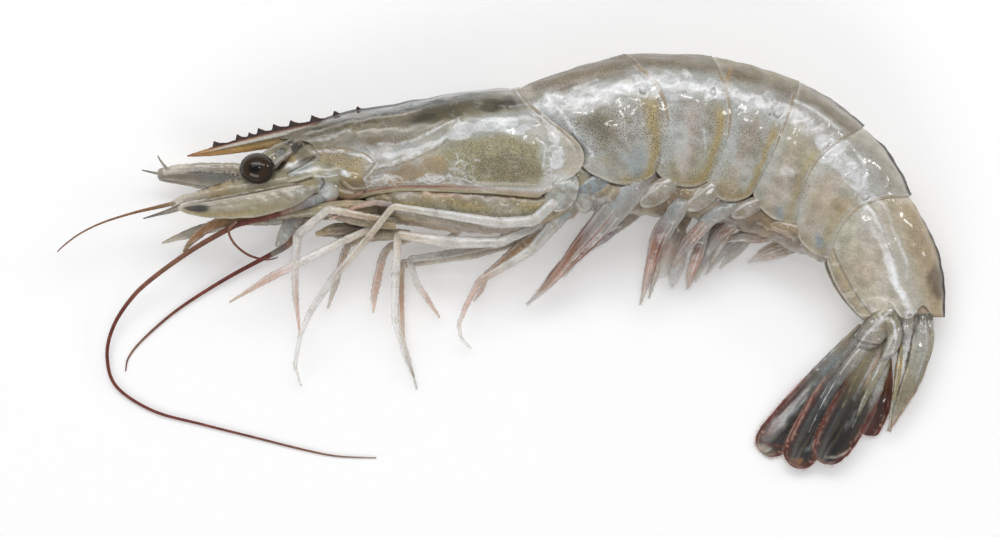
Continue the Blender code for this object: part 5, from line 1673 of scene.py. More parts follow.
def make_leg(node, index):
    hip, first, podomeres, tints = LEGS[node]
    joints = walk_leg(hip, first, podomeres)
    marks = np.cumsum(np.linalg.norm(np.diff(joints[:, :3], axis=0), axis=1))
    length = marks[-1]
    line = evenly(joints, 161, KNEE)
    far = np.linspace(0, length, len(line))
    gap = np.min(np.abs(far[:, None] - marks[None, :-1]), axis=1)
    wide = line[:, 3] * (1.12 + 0.12 * hump(gap, 0.5, 0.35) - 0.1 * hump(gap, 0.0, 0.14))
    shape = np.column_stack([line[:, :3], wide, LEG_THICKNESS * wide])
    piece, points, t, edge = swept(f"walking_{node}", shape)
    near = np.interp(t * length, far, gap)
    tint = ground(np.concatenate([[0], marks]) / length, f"{tints.split()[0]} {tints}", t)
    tint *= LEG_WARMTH
    uneven = ripple(points, 2.0, 101 + index)
    thread = ripple(np.column_stack([0.25 * t * length, 2.0 * edge, 0.0 * edge]), 1.1, 121 + index)
    glaze(tint,
          haze=0.35 * hump(edge, 0.05, 0.2) * rise(uneven, -0.2, 0.7),
          coral=0.3 * hump(edge, 0.4, 0.25) * rise(-uneven, -0.2, 0.6),
          umber=0.25 * rise(thread, 0.4, 0.9),
          # Two near-white lines along the leg are painted highlights.
          shine=0.85 * hump(edge, -0.55, 0.14) + 0.5 * hump(edge, 0.72, 0.1))
    dab(tint, "umber", 0.6 * hump(np.abs(edge), 0.97, 0.05))
    glaze(tint, cream=0.4 * hump(near, 0.35, 0.3), umber=0.35 * hump(near, 0.0, 0.09))
    warm = np.clip(2.5 * (tint[:, 0] - tint[:, 2]), 0, 1)
    dress(piece, LIMB, "leg_pale", node, tint,
          0.03 * ripple(points, 1.0, 111 + index) + 0.03 * hump(edge, -0.8, 0.2),
          speck=0.9 * warm * hump(edge, -0.5, 0.5), wet=0.4, clear=0.18 + 0.3 * rise(t, 0.4, 0.8))


for index, node in enumerate(LEGS):
    make_leg(node, index)
print(len(LEGS), "walking legs")

# %% [markdown]
# ## Swimming legs
#
# Under the tail hang five pairs of paddles. Each has a fleshy stem and two long blades that are
# stiffened by fine ribs and fringed with hair. The stem is a thick limb, the blades are flat
# ones that get thinner and clearer towards the tip, and the hairs leave the edges at a slant.

# %% Swimming legs
# For each: stem route, stem tints; outer blade route, tints; inner blade route, tints.
SWIMMERS = {
    "left_1": (
        ((24.4, 14.6, 11.2, 1.3, 0.9), (21.4, 11.8, 12.2, 2.2, 1.1), (18.4, 8.6, 11.8, 2.3, 1.0),
         (15.6, 5.4, 10.4, 1.8, 0.8)),
        "haze mist mist haze smoke",
        ((18.6, 9.0, 12.2, 1.7, 0.6), (15.8, 5.6, 11.1, 1.9, 0.7), (12.8, 2.2, 9.2, 1.5, 0.5),
         (10.2, -0.9, 7.0, 0.95, 0.4), (8.0, -3.4, 5.6, 0.65, 0.35), (6.1, -5.3, 4.6, 0.4, 0.25),
         (4.3, -7.0, 3.7, 0.12, 0.1)),
        "mist haze lilac maroon brick coral rose pearl",
        ((9.6, -0.6, 6.4, 0.5, 0.3), (8.4, -2.4, 5.6, 0.6, 0.3), (7.2, -4.0, 5.0, 0.45, 0.25),
         (6.3, -4.8, 4.6, 0.15, 0.1)),
        "coral rust amber rust"),
    "right_1": (
        ((24.4, 11.2, 6.4, 0.9, 0.6), (21.4, 8.0, 6.2, 1.4, 0.7), (18.6, 5.8, 5.6, 1.2, 0.6)),
        "grey stone grey",
        ((19.6, 6.6, 5.8, 1.2, 0.5), (16.4, 4.2, 4.9, 1.3, 0.4), (13.4, 2.0, 3.9, 0.9, 0.35),
         (10.4, -0.6, 2.8, 0.45, 0.25), (9.0, -2.0, 2.2, 0.12, 0.1)),
        "grey lilac lilac rose ivory",
        ((15.0, 3.6, 4.2, 0.6, 0.3), (12.4, 0.6, 3.2, 0.6, 0.3), (10.8, -1.6, 2.4, 0.35, 0.2),
         (10.2, -2.6, 2.0, 0.1, 0.1)),
        "lilac rose ivory ivory"),
    "left_2": (
        ((29.8, 10.2, 11.6, 1.0, 0.8), (28.4, 8.4, 12.2, 1.5, 0.9), (26.8, 5.8, 11.2, 1.4, 0.8),
         (25.8, 3.8, 10.0, 1.15, 0.55)),
        "haze mist smoke lilac",
        ((27.2, 7.0, 11.9, 1.2, 0.5), (25.4, 4.0, 10.6, 1.35, 0.6), (24.2, -0.2, 7.6, 0.85, 0.4),
         (23.4, -3.7, 6.0, 0.6, 0.3), (22.5, -7.1, 4.5, 0.1, 0.1)),
        "mist lilac brick coral rose ivory",
        ((25.6, 3.0, 8.4, 0.5, 0.3), (25.2, -1.0, 7.0, 0.5, 0.3), (24.4, -4.0, 5.6, 0.3, 0.2),
         (23.9, -6.0, 4.8, 0.1, 0.1)),
        "coral rose ivory ivory"),
    "right_2": (
        ((31.4, 10.4, 5.4, 0.9, 0.5), (29.8, 7.4, 5.0, 1.2, 0.6), (28.8, 5.0, 4.4, 0.9, 0.4)),
        "umber tan grey",
        ((28.9, 5.2, 4.4, 0.9, 0.35), (27.6, 2.2, 3.6, 1.5, 0.25), (26.4, -1.0, 2.6, 1.5, 0.2),
         (25.0, -2.8, 2.0, 0.2, 0.1)),
        "tan stone rose ivory pearl",
        ((29.4, 3.6, 4.0, 0.6, 0.25), (28.8, 0.4, 3.0, 1.25, 0.2), (28.1, -2.4, 2.2, 1.0, 0.18),
         (27.7, -4.4, 1.7, 0.12, 0.1)),
        "tan rose pearl frost"),
    "left_3": (
        ((38.4, 9.4, 11.0, 0.8, 0.7), (35.8, 8.2, 11.8, 1.2, 0.8), (33.4, 6.6, 11.2, 1.2, 0.7),
         (31.6, 4.8, 10.0, 1.0, 0.5)),
        "haze mist dew lilac",
        ((33.0, 6.2, 11.2, 0.9, 0.4), (30.6, 3.6, 10.2, 1.1, 0.4), (29.0, 1.4, 7.6, 0.7, 0.35),
         (27.6, -0.8, 6.6, 0.15, 0.12)),
        "dew rose lilac rose",
        ((32.8, 5.0, 8.8, 0.7, 0.35), (31.8, 1.6, 7.6, 0.9, 0.35), (30.9, -1.2, 6.2, 0.8, 0.3),
         (30.3, -4.2, 4.8, 0.12, 0.1)),
        "lilac haze coral rose"),
    "right_3": (
        ((37.6, 8.8, 5.2, 0.8, 0.5), (35.6, 6.4, 4.7, 1.0, 0.5), (34.0, 4.2, 4.2, 0.7, 0.4)),
        "umber tan shade",
        ((34.4, 4.8, 4.2, 0.7, 0.35), (32.2, 1.4, 3.3, 1.1, 0.25), (30.8, -2.0, 2.4, 0.8, 0.2),
         (30.2, -4.6, 1.7, 0.1, 0.1)),
        "tan lilac ivory rose",
        ((34.6, 3.8, 3.8, 0.6, 0.25), (33.2, 0.8, 3.0, 0.8, 0.2), (32.0, -1.8, 2.2, 0.5, 0.18),
         (31.4, -3.4, 1.8, 0.1, 0.1)),
        "tan stone ivory ivory"),
    "left_4": (
        ((42.4, 8.8, 9.4, 0.9, 0.7), (40.0, 7.8, 9.5, 1.2, 0.7), (37.2, 6.2, 9.0, 0.8, 0.5)),
        "umber dew ivory",
        ((37.8, 6.4, 9.0, 0.9, 0.4), (35.4, 4.6, 8.2, 0.9, 0.35), (33.6, 2.0, 7.2, 0.7, 0.3),
         (32.3, -1.0, 6.2, 0.12, 0.1)),
        "ivory rose mist lilac",
        ((37.4, 5.6, 8.4, 0.6, 0.3), (35.6, 3.2, 7.4, 0.7, 0.3), (34.4, 0.8, 6.4, 0.4, 0.2),
         (33.8, -0.8, 5.8, 0.1, 0.1)),
        "tan rose milk rose"),
    "right_4": (
        ((43.8, 7.2, 5.0, 0.8, 0.5), (41.6, 5.8, 4.6, 1.0, 0.5), (39.0, 4.2, 4.0, 0.7, 0.4)),
        "umber tan shade",
        ((39.6, 4.6, 4.1, 0.8, 0.35), (36.8, 2.6, 3.4, 1.0, 0.25), (34.6, 0.2, 2.7, 0.7, 0.2),
         (33.2, -2.2, 2.1, 0.1, 0.1)),
        "tan lilac dew rose",
        ((40.4, 4.0, 3.8, 0.6, 0.25), (38.0, 1.6, 3.0, 0.8, 0.2), (36.2, -0.2, 2.4, 0.4, 0.18),
         (35.4, -1.2, 2.0, 0.1, 0.1)),
        "tan grey stone ivory"),
    "left_5": (
        ((48.4, 4.0, 8.8, 1.1, 0.7), (45.6, 4.2, 8.6, 1.3, 0.7), (42.6, 5.0, 8.2, 0.9, 0.5)),
        "stone ivory rose",
        ((43.6, 5.2, 8.4, 0.6, 0.4), (41.0, 5.4, 8.0, 0.65, 0.35), (38.2, 5.7, 7.4, 0.5, 0.3),
         (34.4, 5.0, 6.4, 0.12, 0.1)),
        "rose coral coral rose",
        ((44.0, 4.0, 8.0, 0.8, 0.4), (41.0, 3.9, 7.4, 1.0, 0.35), (38.2, 3.8, 6.8, 0.7, 0.3),
         (35.4, 3.0, 6.2, 0.12, 0.1)),
        "tan rose milk rose"),
    "right_5": (
        ((50.2, 2.8, 4.6, 0.9, 0.5), (48.6, 2.7, 4.3, 1.1, 0.5), (47.2, 2.5, 4.0, 0.9, 0.4)),
        "tan tan tan",
        ((48.2, 2.7, 4.2, 1.0, 0.3), (45.6, 2.1, 3.6, 1.35, 0.2), (42.6, 1.0, 2.8, 1.0, 0.18),
         (40.0, -0.2, 2.0, 0.1, 0.1)),
        "tan tan rose ivory",
        ((47.8, 3.1, 4.4, 0.6, 0.25), (45.4, 2.9, 3.9, 0.7, 0.2), (43.0, 2.0, 3.2, 0.5, 0.18),
         (41.6, 1.4, 2.8, 0.1, 0.1)),
        "tan tan tan rose"),
}
SWIMMER_ROLL = {"left": 8, "right": -8}
FRINGE_PACK = 4.5            # hairs to each millimetre of edge
FRINGE_LENGTH = 0.75


def edge_hairs(line, roll, seed, start_at=0.35, length=FRINGE_LENGTH):
    """Roots and tips of hairs along both edges of a blade, slanted towards its tip."""
    chance = np.random.default_rng(seed)
    forward, across, _ = ring_axes(line[:, :3], roll)
    span = np.linalg.norm(np.diff(line[:, :3], axis=0), axis=1).sum()
    count = int(span * (1 - start_at) * FRINGE_PACK)
    place = (len(line) - 1) * np.linspace(start_at, 0.995, count)
    pick = place.astype(int)
    at = np.stack([np.interp(place, np.arange(len(line)), column) for column in line.T], axis=1)
    roots, tips = [], []
    for way in (-1.0, 1.0):
        root = at[:, :3] + way * across[pick] * (at[:, 3:4] - 0.04)
        slant = forward[pick] * chance.uniform(0.8, 1.4, (count, 1)) + way * across[pick]
        roots.append(root)
        tips.append(root + length * chance.uniform(0.6, 1.1, (count, 1)) * unit(slant))
    return np.concatenate(roots), np.concatenate(tips)


def make_fringe(name, roots, tips, width, tints, clear, slot, node):
    """Hands over a fringe that gets paler and clearer from root to tip."""
    piece, along = hairs(f"{name}_fringe", roots, tips, width)
    dress(piece, LIMB, slot, node, graded(tints, along),
          clear=clear[0] + (clear[1] - clear[0]) * along)


def make_swimmer_stem(name, route, tints, node, roll, seed):
    route = np.array(route)
    taper = route[-1] + 1.2 * (route[-1] - route[-2])
    taper[2:] -= (0.9, 0.75 * route[-1, 3], 0.75 * route[-1, 4])
    piece, points, t, edge = limb(name, np.vstack([route, taper]), 81, 28, roll)
    tint = graded(tints, t)
    blots = ripple(points, 1.6, seed)
    glaze(tint,
          frost=0.4 * rise(blots, 0.2, 1.0),
          rose=0.35 * hump(edge, 0.5, 0.3),
          slate=0.3 * rise(-blots, 0.3, 0.9),
          # A torn near-white streak along the stem is a painted highlight.
          shine=0.5 * torn(hump(edge, -0.35, 0.12), points, 1.5, seed + 7, 0.7),
          cream=0.7 * hump(np.abs(edge), 0.92, 0.09))
    dress(piece, LIMB, "swimmer_pink", node, tint,
          0.05 * ripple(points, 1.6, seed + 1) + 0.02 * ripple(points, 0.6, seed + 2),
          speck=0.45, wet=0.4, clear=0.2 + 0.5 * rise(t, 0.75, 1.0))


def make_swimmer_blade(name, route, tints, node, roll, seed):
    route = np.array(route)
    root = route[0] - 0.5 * (route[1] - route[0])
    root[2:] = root[2] - 0.5, 0.4 * route[0, 3], 0.5 * route[0, 4]
    line = flowing(np.vstack([root, route]), 81)
    piece, points, t, edge = swept(name, line, 40, roll)
    tint = graded(tints, t)
    ribs = paint_ribs(edge, 6, seed) * rise(t, 0.05, 0.25)
    streak = ripple(np.column_stack([4.0 * t, 5.0 * edge, 0 * t]), 1.6, seed + 8)
    near_side = 1.0 if "left" in name else 0.35
    glaze(tint,
          maroon=0.7 * near_side * rise(streak, -0.2, 0.6) * hump(t, 0.42, 0.14),
          brick=0.6 * near_side * ribs * (1 - rise(t, 0.75, 1.0)),
          milk=0.6 * paint_ribs(edge, 5, seed + 1) + 0.3 * rise(-streak, 0.2, 0.8),
          slate=0.4 * near_side * hump(edge, -0.9, 0.12) * (1 - rise(t, 0.5, 0.9)))
    # Painted light: the far blades lie in the body's shadow, so their tint is made lighter.
    tint *= 1.3 - 0.3 * near_side
    dress(piece, LIMB, "swimmer_pink", node, tint, 0.05 * ribs + 0.04 * ripple(points, 1.1, seed + 2),
          speck=0.4, wet=0.4, clear=0.5 - 0.36 * near_side + 0.25 * rise(t, 0.4, 1.0))
    return edge_hairs(line, roll, seed)


def make_swimmer(key, seed):
    stem, stem_tints, outer, outer_tints, inner, inner_tints = SWIMMERS[key]
    name, node, roll = f"swimmer_{key}", f"pleopod_{key}", SWIMMER_ROLL[key.split("_")[0]]
    make_swimmer_stem(f"{name}_stem", stem, stem_tints, node, roll, seed)
    edges = [make_swimmer_blade(f"{name}_outer", outer, outer_tints, node, roll, seed + 3),
             make_swimmer_blade(f"{name}_inner", inner, inner_tints, node, roll, seed + 6)]
    roots, tips = (np.concatenate(rows) for rows in zip(*edges))
    make_fringe(name, roots, tips, 0.035, "rose pearl", (0.35, 0.7), "swimmer_pink", node)


for index, key in enumerate(SWIMMERS):
    make_swimmer(key, 200 + 10 * index)
print(len(SWIMMERS), "swimming legs, each with a stem, two blades and a fringe")

# %% [markdown]
# ## Belly, hips and gill leaves
#
# Below the plates' lower edges the belly shows as a band of brown flesh, laid as one limb. The
# first joints of the swimming legs are pale ovals in it, and behind the shield's rear edge hang
# a few gill leaves. They are lumps of the same kind as the knuckles.

# %% Belly and hips
# Tint, rim tint, centre, radii, turn.
HIPS = (
    ("grey", "stone", (25.3, 11.0, 12.5), (3.7, 1.8, 0.8), 36),
    ("grey", "stone", (32.4, 10.3, 12.3), (3.6, 1.7, 0.8), 37),
    ("grey", "stone", (39.6, 8.5, 11.6), (3.2, 1.4, 0.8), 28),
    ("tan", "rose", (45.6, 5.4, 10.7), (3.0, 1.2, 0.9), -16),
    ("reed", "stone", (12.0, 13.6, 12.2), (2.6, 2.4, 1.2), -20),
    ("blue", "dew", (15.0, 12.4, 12.2), (3.8, 1.7, 1.0), 28),
    ("haze", "dew", (13.0, 10.4, 11.6), (1.9, 2.8, 1.1), 16),
    ("dew", "milk", (9.8, 11.2, 13.0), (2.7, 3.6, 1.7), -22),
)
BELLY = ((10.6, 11.4, 8.0, 1.0, 3.0), (14.5, 11.2, 8.4, 3.2, 4.1), (22.0, 10.9, 8.6, 3.5, 4.3),
         (29.0, 10.6, 8.5, 3.4, 4.2), (36.0, 9.2, 8.2, 3.2, 3.9), (43.0, 6.8, 7.9, 3.1, 3.5),
         (48.6, 3.8, 7.6, 2.5, 3.1), (52.4, 0.8, 7.2, 1.3, 2.0))


def make_belly():
    piece, points, t, _ = limb("belly_flesh", BELLY, 161, 40)
    tint = ground((0, 0.3, 0.6, 0.85, 1), "haze umber shade umber haze", t)
    blots = ripple(points, 4.0, 131)
    slant = points[:, :2] @ (0.59, -0.81)
    lines = ripple(np.column_stack([slant, 0.2 * points[:, 0], 0 * slant]), 1.4, 133)
    glaze(tint,
          ochre=0.5 * rise(blots, 0.0, 1.0),
          lilac=0.5 * rise(-blots, 0.0, 1.0),
          shade=0.6 * rise(lines, 0.2, 0.9),
          haze=0.4 * rise(-lines, 0.3, 0.9))
    bars = np.abs(np.sin(points[:, 0] * 0.44)) ** 6
    dress(piece, FLESH, "thorax_flesh", None, tint, 0.3 * bars + 0.12 * ripple(points, 1.4, 132),
          speck=0.3, wet=0.8)


make_belly()


def make_hip(index):
    colour, rim, centre, radii, turn = HIPS[index]
    piece, points, out = ball(f"hip_{index + 1}", centre, radii, turn)
    across = np.hypot(out[:, 0], out[:, 1])
    tint = ground((0, 0.8, 0.9, 0.96, 1), f"{colour} {colour} {rim} {rim} umber", across)
    glaze(tint,
          umber=0.5 * rise(ripple(points, 1.4, 141 + index), -0.2, 0.8),
          # A torn near-white band on top is a painted highlight.
          shine=0.3 * torn(hump(out[:, 1], 0.4, 0.12), points, 1.2, 161 + index))
    dress(piece, SHELL, "thorax_flesh", None, tint, 0.05 * ripple(points, 1.9, 151 + index),
          speck=0.3, wet=0.7)


for index in range(len(HIPS)):
    make_hip(index)
print(len(HIPS), "hips and leaves")

# %% [markdown]
# ## The tail fan
#
# The fan is five plates: the pointed telson in the middle, and two rounded blades on each side
# that turn on one base. The blades are stiff and dark, with a raised rib, a thin red border and a
# fringe. Their colour depends on the place in the fan, so patches and lines are laid on in the
# side view, as on the shield.

# %% Fan blades
# Node, slot, roll, tints from root to tip, border tint and width, route.
FAN_BLADES = (
    ("uropod_inner_right", "tail_slate", 0, "umber brick maroon wine", "wine", 0.4,
     ((61.6, -12.4, 1.5, 1.0, 0.3), (61.6, -18.0, 1.2, 1.8, 0.35), (60.9, -23.0, 1.0, 2.2, 0.3),
      (59.6, -26.4, 0.8, 2.1, 0.25), (58.9, -28.0, 0.7, 1.6, 0.15))),
    ("uropod_outer_right", "tail_slate", 0, "ochre smoke slate coal ink", "wine", 0.45,
     ((58.8, -11.0, 2.6, 1.3, 0.3), (54.2, -16.6, 2.1, 2.2, 0.42), (50.2, -21.8, 1.7, 2.9, 0.4),
      (46.4, -26.4, 1.1, 3.1, 0.35), (43.6, -29.4, 0.7, 2.8, 0.28), (42.2, -31.0, 0.5, 2.4, 0.15))),
    ("uropod_outer_left", "tail_slate", 0, "mist smoke slate coal ink coal", "wine", 0.45,
     ((60.2, -10.8, 5.3, 1.3, 0.35), (56.4, -16.4, 4.5, 2.0, 0.45), (53.2, -21.8, 3.7, 2.7, 0.42),
      (50.4, -27.2, 2.8, 3.1, 0.38), (48.2, -31.4, 2.1, 2.8, 0.3), (47.3, -33.2, 1.8, 2.4, 0.15))),
    ("uropod_inner_left", "tail_slate", 0, "olive olive dark_olive coal ink coal", "wine", 0.4,
     ((61.8, -11.8, 6.2, 1.3, 0.35), (60.0, -16.8, 5.7, 2.5, 0.5), (57.4, -22.2, 4.8, 3.3, 0.48),
      (54.6, -27.6, 3.8, 3.3, 0.42), (52.6, -31.0, 3.2, 2.8, 0.3), (51.8, -32.5, 2.9, 2.4, 0.15))),
    ("telson", "shell", 10, "haze reed olive cream", "tan", 0.15, ((67.4, -8.2, 4.6, 2.1, 0.7),
      (67.1, -12.6, 4.6, 2.7, 0.95), (66.2, -17.6, 4.3, 2.2, 0.85), (64.7, -22.2, 3.6, 1.3, 0.6),
      (63.2, -26.0, 3.0, 0.5, 0.3), (62.6, -27.4, 2.8, 0.12, 0.1))),
)
# On which blade, colour, strength, dots, centre, radii, turn. The frost and pearl patches, and the
# blue, rose and mist streaks on the two left blades, are painted highlights: the sheen of the wet
# shell.
FAN_PATCHES = (
    ("outer_right", "blue", 0.8, 0.2, (53.0, -18.2), (1.0, 3.6), -38),
    ("outer_right", "coal", 0.7, 0.0, (49.0, -24.8), (1.4, 3.4), -38),
    ("outer_right", "frost", 0.9, 0.0, (48.0, -22.6), (0.7, 3.0), -38),
    ("outer_right", "pearl", 0.85, 0.0, (45.2, -25.8), (0.8, 2.2), -40),
    ("outer_right", "night", 0.9, 0.0, (47.2, -26.0), (0.5, 2.4), -36),
    ("outer_right", "ivory", 0.9, 0.0, (42.2, -30.4), (2.0, 0.9), -20),
    ("outer_right", "lilac", 0.6, 0.0, (43.6, -27.4), (1.4, 2.2), -38),
    ("outer_left", "pearl", 0.85, 0.1, (55.6, -17.0), (0.6, 4.4), -34),
    ("outer_left", "blue", 0.7, 0.1, (53.4, -20.4), (0.8, 2.4), -32),
    ("outer_left", "coal", 0.7, 0.2, (51.6, -25.0), (2.0, 3.6), -30),
    ("outer_left", "night", 0.8, 0.0, (51.0, -27.6), (1.5, 3.6), -28),
    ("outer_left", "blue", 0.6, 0.0, (50.2, -29.4), (0.5, 1.6), -28),
    ("outer_left", "rust", 0.7, 0.0, (47.6, -32.6), (1.8, 0.9), -20),
    ("inner_left", "ink", 0.9, 0.1, (55.6, -26.4), (2.2, 4.6), -28),
    ("inner_left", "night", 0.8, 0.1, (54.6, -28.6), (1.6, 2.6), -28),
    ("inner_left", "rose", 0.7, 0.1, (59.9, -17.0), (0.4, 3.2), -24),
    ("inner_left", "mist", 0.7, 0.1, (60.6, -20.6), (0.6, 3.6), -22),
    ("inner_left", "frost", 0.5, 0.0, (56.5, -25.6), (0.35, 1.8), -26),
    ("telson", "mist", 0.5, 0.2, (67.0, -14.0), (1.2, 4.0), -8),
    ("telson", "smoke", 0.5, 0.5, (67.8, -18.4), (0.9, 3.6), -14),
)
# On which blade, colour, strength, width, height, route. The frost lines are painted highlights.
FAN_LINES = (
    ("outer_left", "ochre", 0.9, 0.12, 0.14, ((60.4, -12.6), (56.6, -16.2), (54.0, -19.8), (51.8, -24.0))),
    ("outer_left", "ink", 0.8, 0.12, -0.1, ((60.0, -12.2), (56.0, -16.0), (53.4, -19.8), (51.2, -24.2))),
    ("outer_left", "frost", 0.7, 0.1, 0.06, ((57.4, -13.6), (54.2, -18.0), (51.6, -22.0))),
    ("outer_left", "coral", 0.6, 0.16, 0.05, ((52.2, -18.6), (48.8, -24.6), (47.0, -28.8))),
    ("inner_left", "ink", 0.9, 0.16, -0.14, ((62.4, -14.4), (60.4, -18.0), (58.9, -21.4), (58.4, -25.0))),
    ("inner_left", "ochre", 0.7, 0.1, 0.08, ((58.4, -15.8), (56.4, -20.2), (55.0, -23.4))),
    ("inner_left", "frost", 0.7, 0.14, 0.08, ((60.6, -14.6), (58.4, -19.0), (56.8, -22.4))),
    ("inner_left", "ivory", 0.8, 0.2, 0.06, ((63.0, -18.6), (61.0, -23.4), (58.8, -27.4))),
    ("inner_left", "ivory", 0.8, 0.16, 0.05, ((52.4, -31.6), (54.4, -31.4), (56.4, -30.2))),
    ("outer_right", "ochre", 0.8, 0.1, 0.12, ((57.0, -14.6), (52.4, -20.2), (48.0, -24.6))),
    ("outer_right", "frost", 0.7, 0.12, 0.08, ((50.4, -21.0), (47.6, -23.8), (45.6, -25.8))),
    ("outer_right", "coral", 0.6, 0.14, 0.06, ((49.6, -20.8), (45.8, -24.6), (43.2, -28.0))),
    ("outer_right", "maroon", 0.8, 0.25, 0.05, ((41.6, -28.6), (43.2, -29.6), (45.6, -30.0))),
    ("telson", "ivory", 0.9, 0.2, 0.2, ((65.9, -8.4), (66.2, -14.6), (64.8, -19.0), (63.2, -24.8))),
    ("telson", "bark", 0.85, 0.14, -0.14, ((65.5, -8.6), (65.8, -14.6), (64.4, -19.0), (62.9, -24.4))),
    ("telson", "fern", 0.85, 0.35, 0.06, ((64.4, -12.0), (63.9, -15.8), (63.5, -20.0))),
    ("telson", "umber", 0.8, 0.15, -0.1, ((68.6, -8.6), (69.2, -15.0), (67.2, -20.4))),
    ("telson", "pearl", 0.7, 0.15, 0.08, ((68.2, -9.6), (68.4, -14.0), (66.8, -19.2))),
)
FAN_TIP = 2.8                # radius of the round tips
TIP_REACH = 14.0             # a blade's length, where the border's distance from its tip counts
FINE_RINGS = 9               # at the very tip; before them, every third ring is enough
FAN_HAIR = {"tail_slate": "brick coral", "shell": "tan cream"}


def rounded(line):
    """A blade's line with a round tip, and more rings where the tip turns."""
    left = np.linalg.norm(line[-1, :2] - line[:, :2], axis=1)
    cap = np.sqrt(np.clip(left * (2 * FAN_TIP - left), 0.02, None))
    line[:, 3] = np.where(left < FAN_TIP, np.minimum(line[:, 3], cap), line[:, 3])
    return np.vstack([line[:-FINE_RINGS:3], line[-FINE_RINGS:]])


def fan_rim(line, points, t, edge, width):
    """How far in from the blade's edge each point is, and the mask of its border."""
    wide = line[np.rint(t * (len(line) - 1)).astype(int), 3]
    inset = np.minimum(wide * (1 - np.abs(edge)), TIP_REACH * (1 - t))
    rim = 1 - rise(inset + 0.2 * ripple(points, 1.6, 164), 0.6 * width, 3.6 * width)
    return inset, rim * rise(t, 0.25, 0.6)


def paint_border(tint, points, t, inset, rim, colour, width):
    """A dark border that is redder and paler in places, and bleached at one blade's corner."""
    tip = hump(points[:, 0], 42.4, 1.6) * rise(-points[:, 1], 28.6, 30.0)
    dab(tint, colour, 0.9 * rim * (1 - 0.8 * tip))
    red = rise(-inset, -0.5, -0.1) * rise(ripple(points, 1.7, 170), -0.5, 0.5) * (1 - tip)
    pale = rise(-inset, -0.22, -0.05) * rise(ripple(points, 2.2, 171), 0.0, 0.7)
    flecks = rise(ripple(points * (1.0, 1.0, 0.3), 0.7, 165), 0.8, 1.0) * rise(t, 0.5, 0.8)
    glaze(tint, blood=0.55 * rim * red, rose=0.7 * rim * pale, coral=0.7 * rim * flecks)
    inner = hump(inset, 1.3 * width, 0.14) * rise(t, 0.45, 0.7)
    dab(tint, "rose", 0.45 * inner * rise(ripple(points, 2.0, 173), -0.3, 0.5))


def make_fan_blade(node, slot, roll, tints, border, border_width, route):
    line = rounded(flowing(route, 301))
    piece, points, t, edge = swept(f"{node}_blade", line, 64, roll)
    plane = points[:, :2]
    wander = wandering(points, 2.2, 161, 0.3)
    tint = graded(tints, t)
    dots = 0.3 * np.ones(len(t))
    patches = [row[1:] for row in FAN_PATCHES if row[0] in node]
    paint_patches(tint, dots, plane + wander, patches, 0.45)
    ribs = paint_ribs(edge, 5, 163) * rise(t, 0.1, 0.4)
    dab(tint, "ochre", 0.2 * ribs)
    if slot == "tail_slate":
        streak = ripple(np.column_stack([3.0 * t, 6.0 * edge, 0 * t]), 1.8, 169)
        glaze(tint,
              ink=0.7 * rise(streak, -0.1, 0.6) * rise(t, 0.3, 0.6),
              slate=0.5 * rise(-streak, 0.3, 0.9) * rise(t, 0.3, 0.6))
    inset, rim = fan_rim(line, points, t, edge, border_width)
    paint_border(tint, points, t, inset, rim, border, border_width)
    relief = 0.05 * ribs + 0.06 * ripple(points, 1.8, 166) + 0.12 * hump(edge, 0.1, 0.12) * (1 - t)
    lines = [row[1:] for row in FAN_LINES if row[0] in node]
    paint_lines(tint, relief, plane + 0.3 * wander, lines)
    dress(piece, FAN, slot, node, tint, relief, speck=dots, wet=0.3, dull=0.7 * rim)
    roots, tips = edge_hairs(line, roll, 168, 0.45, 0.7)
    make_fringe(node, roots, tips, 0.04, FAN_HAIR[slot], (0.0, 0.5), slot, node)


for row in FAN_BLADES:
    make_fan_blade(*row)
print(len(FAN_BLADES), "fan blades")

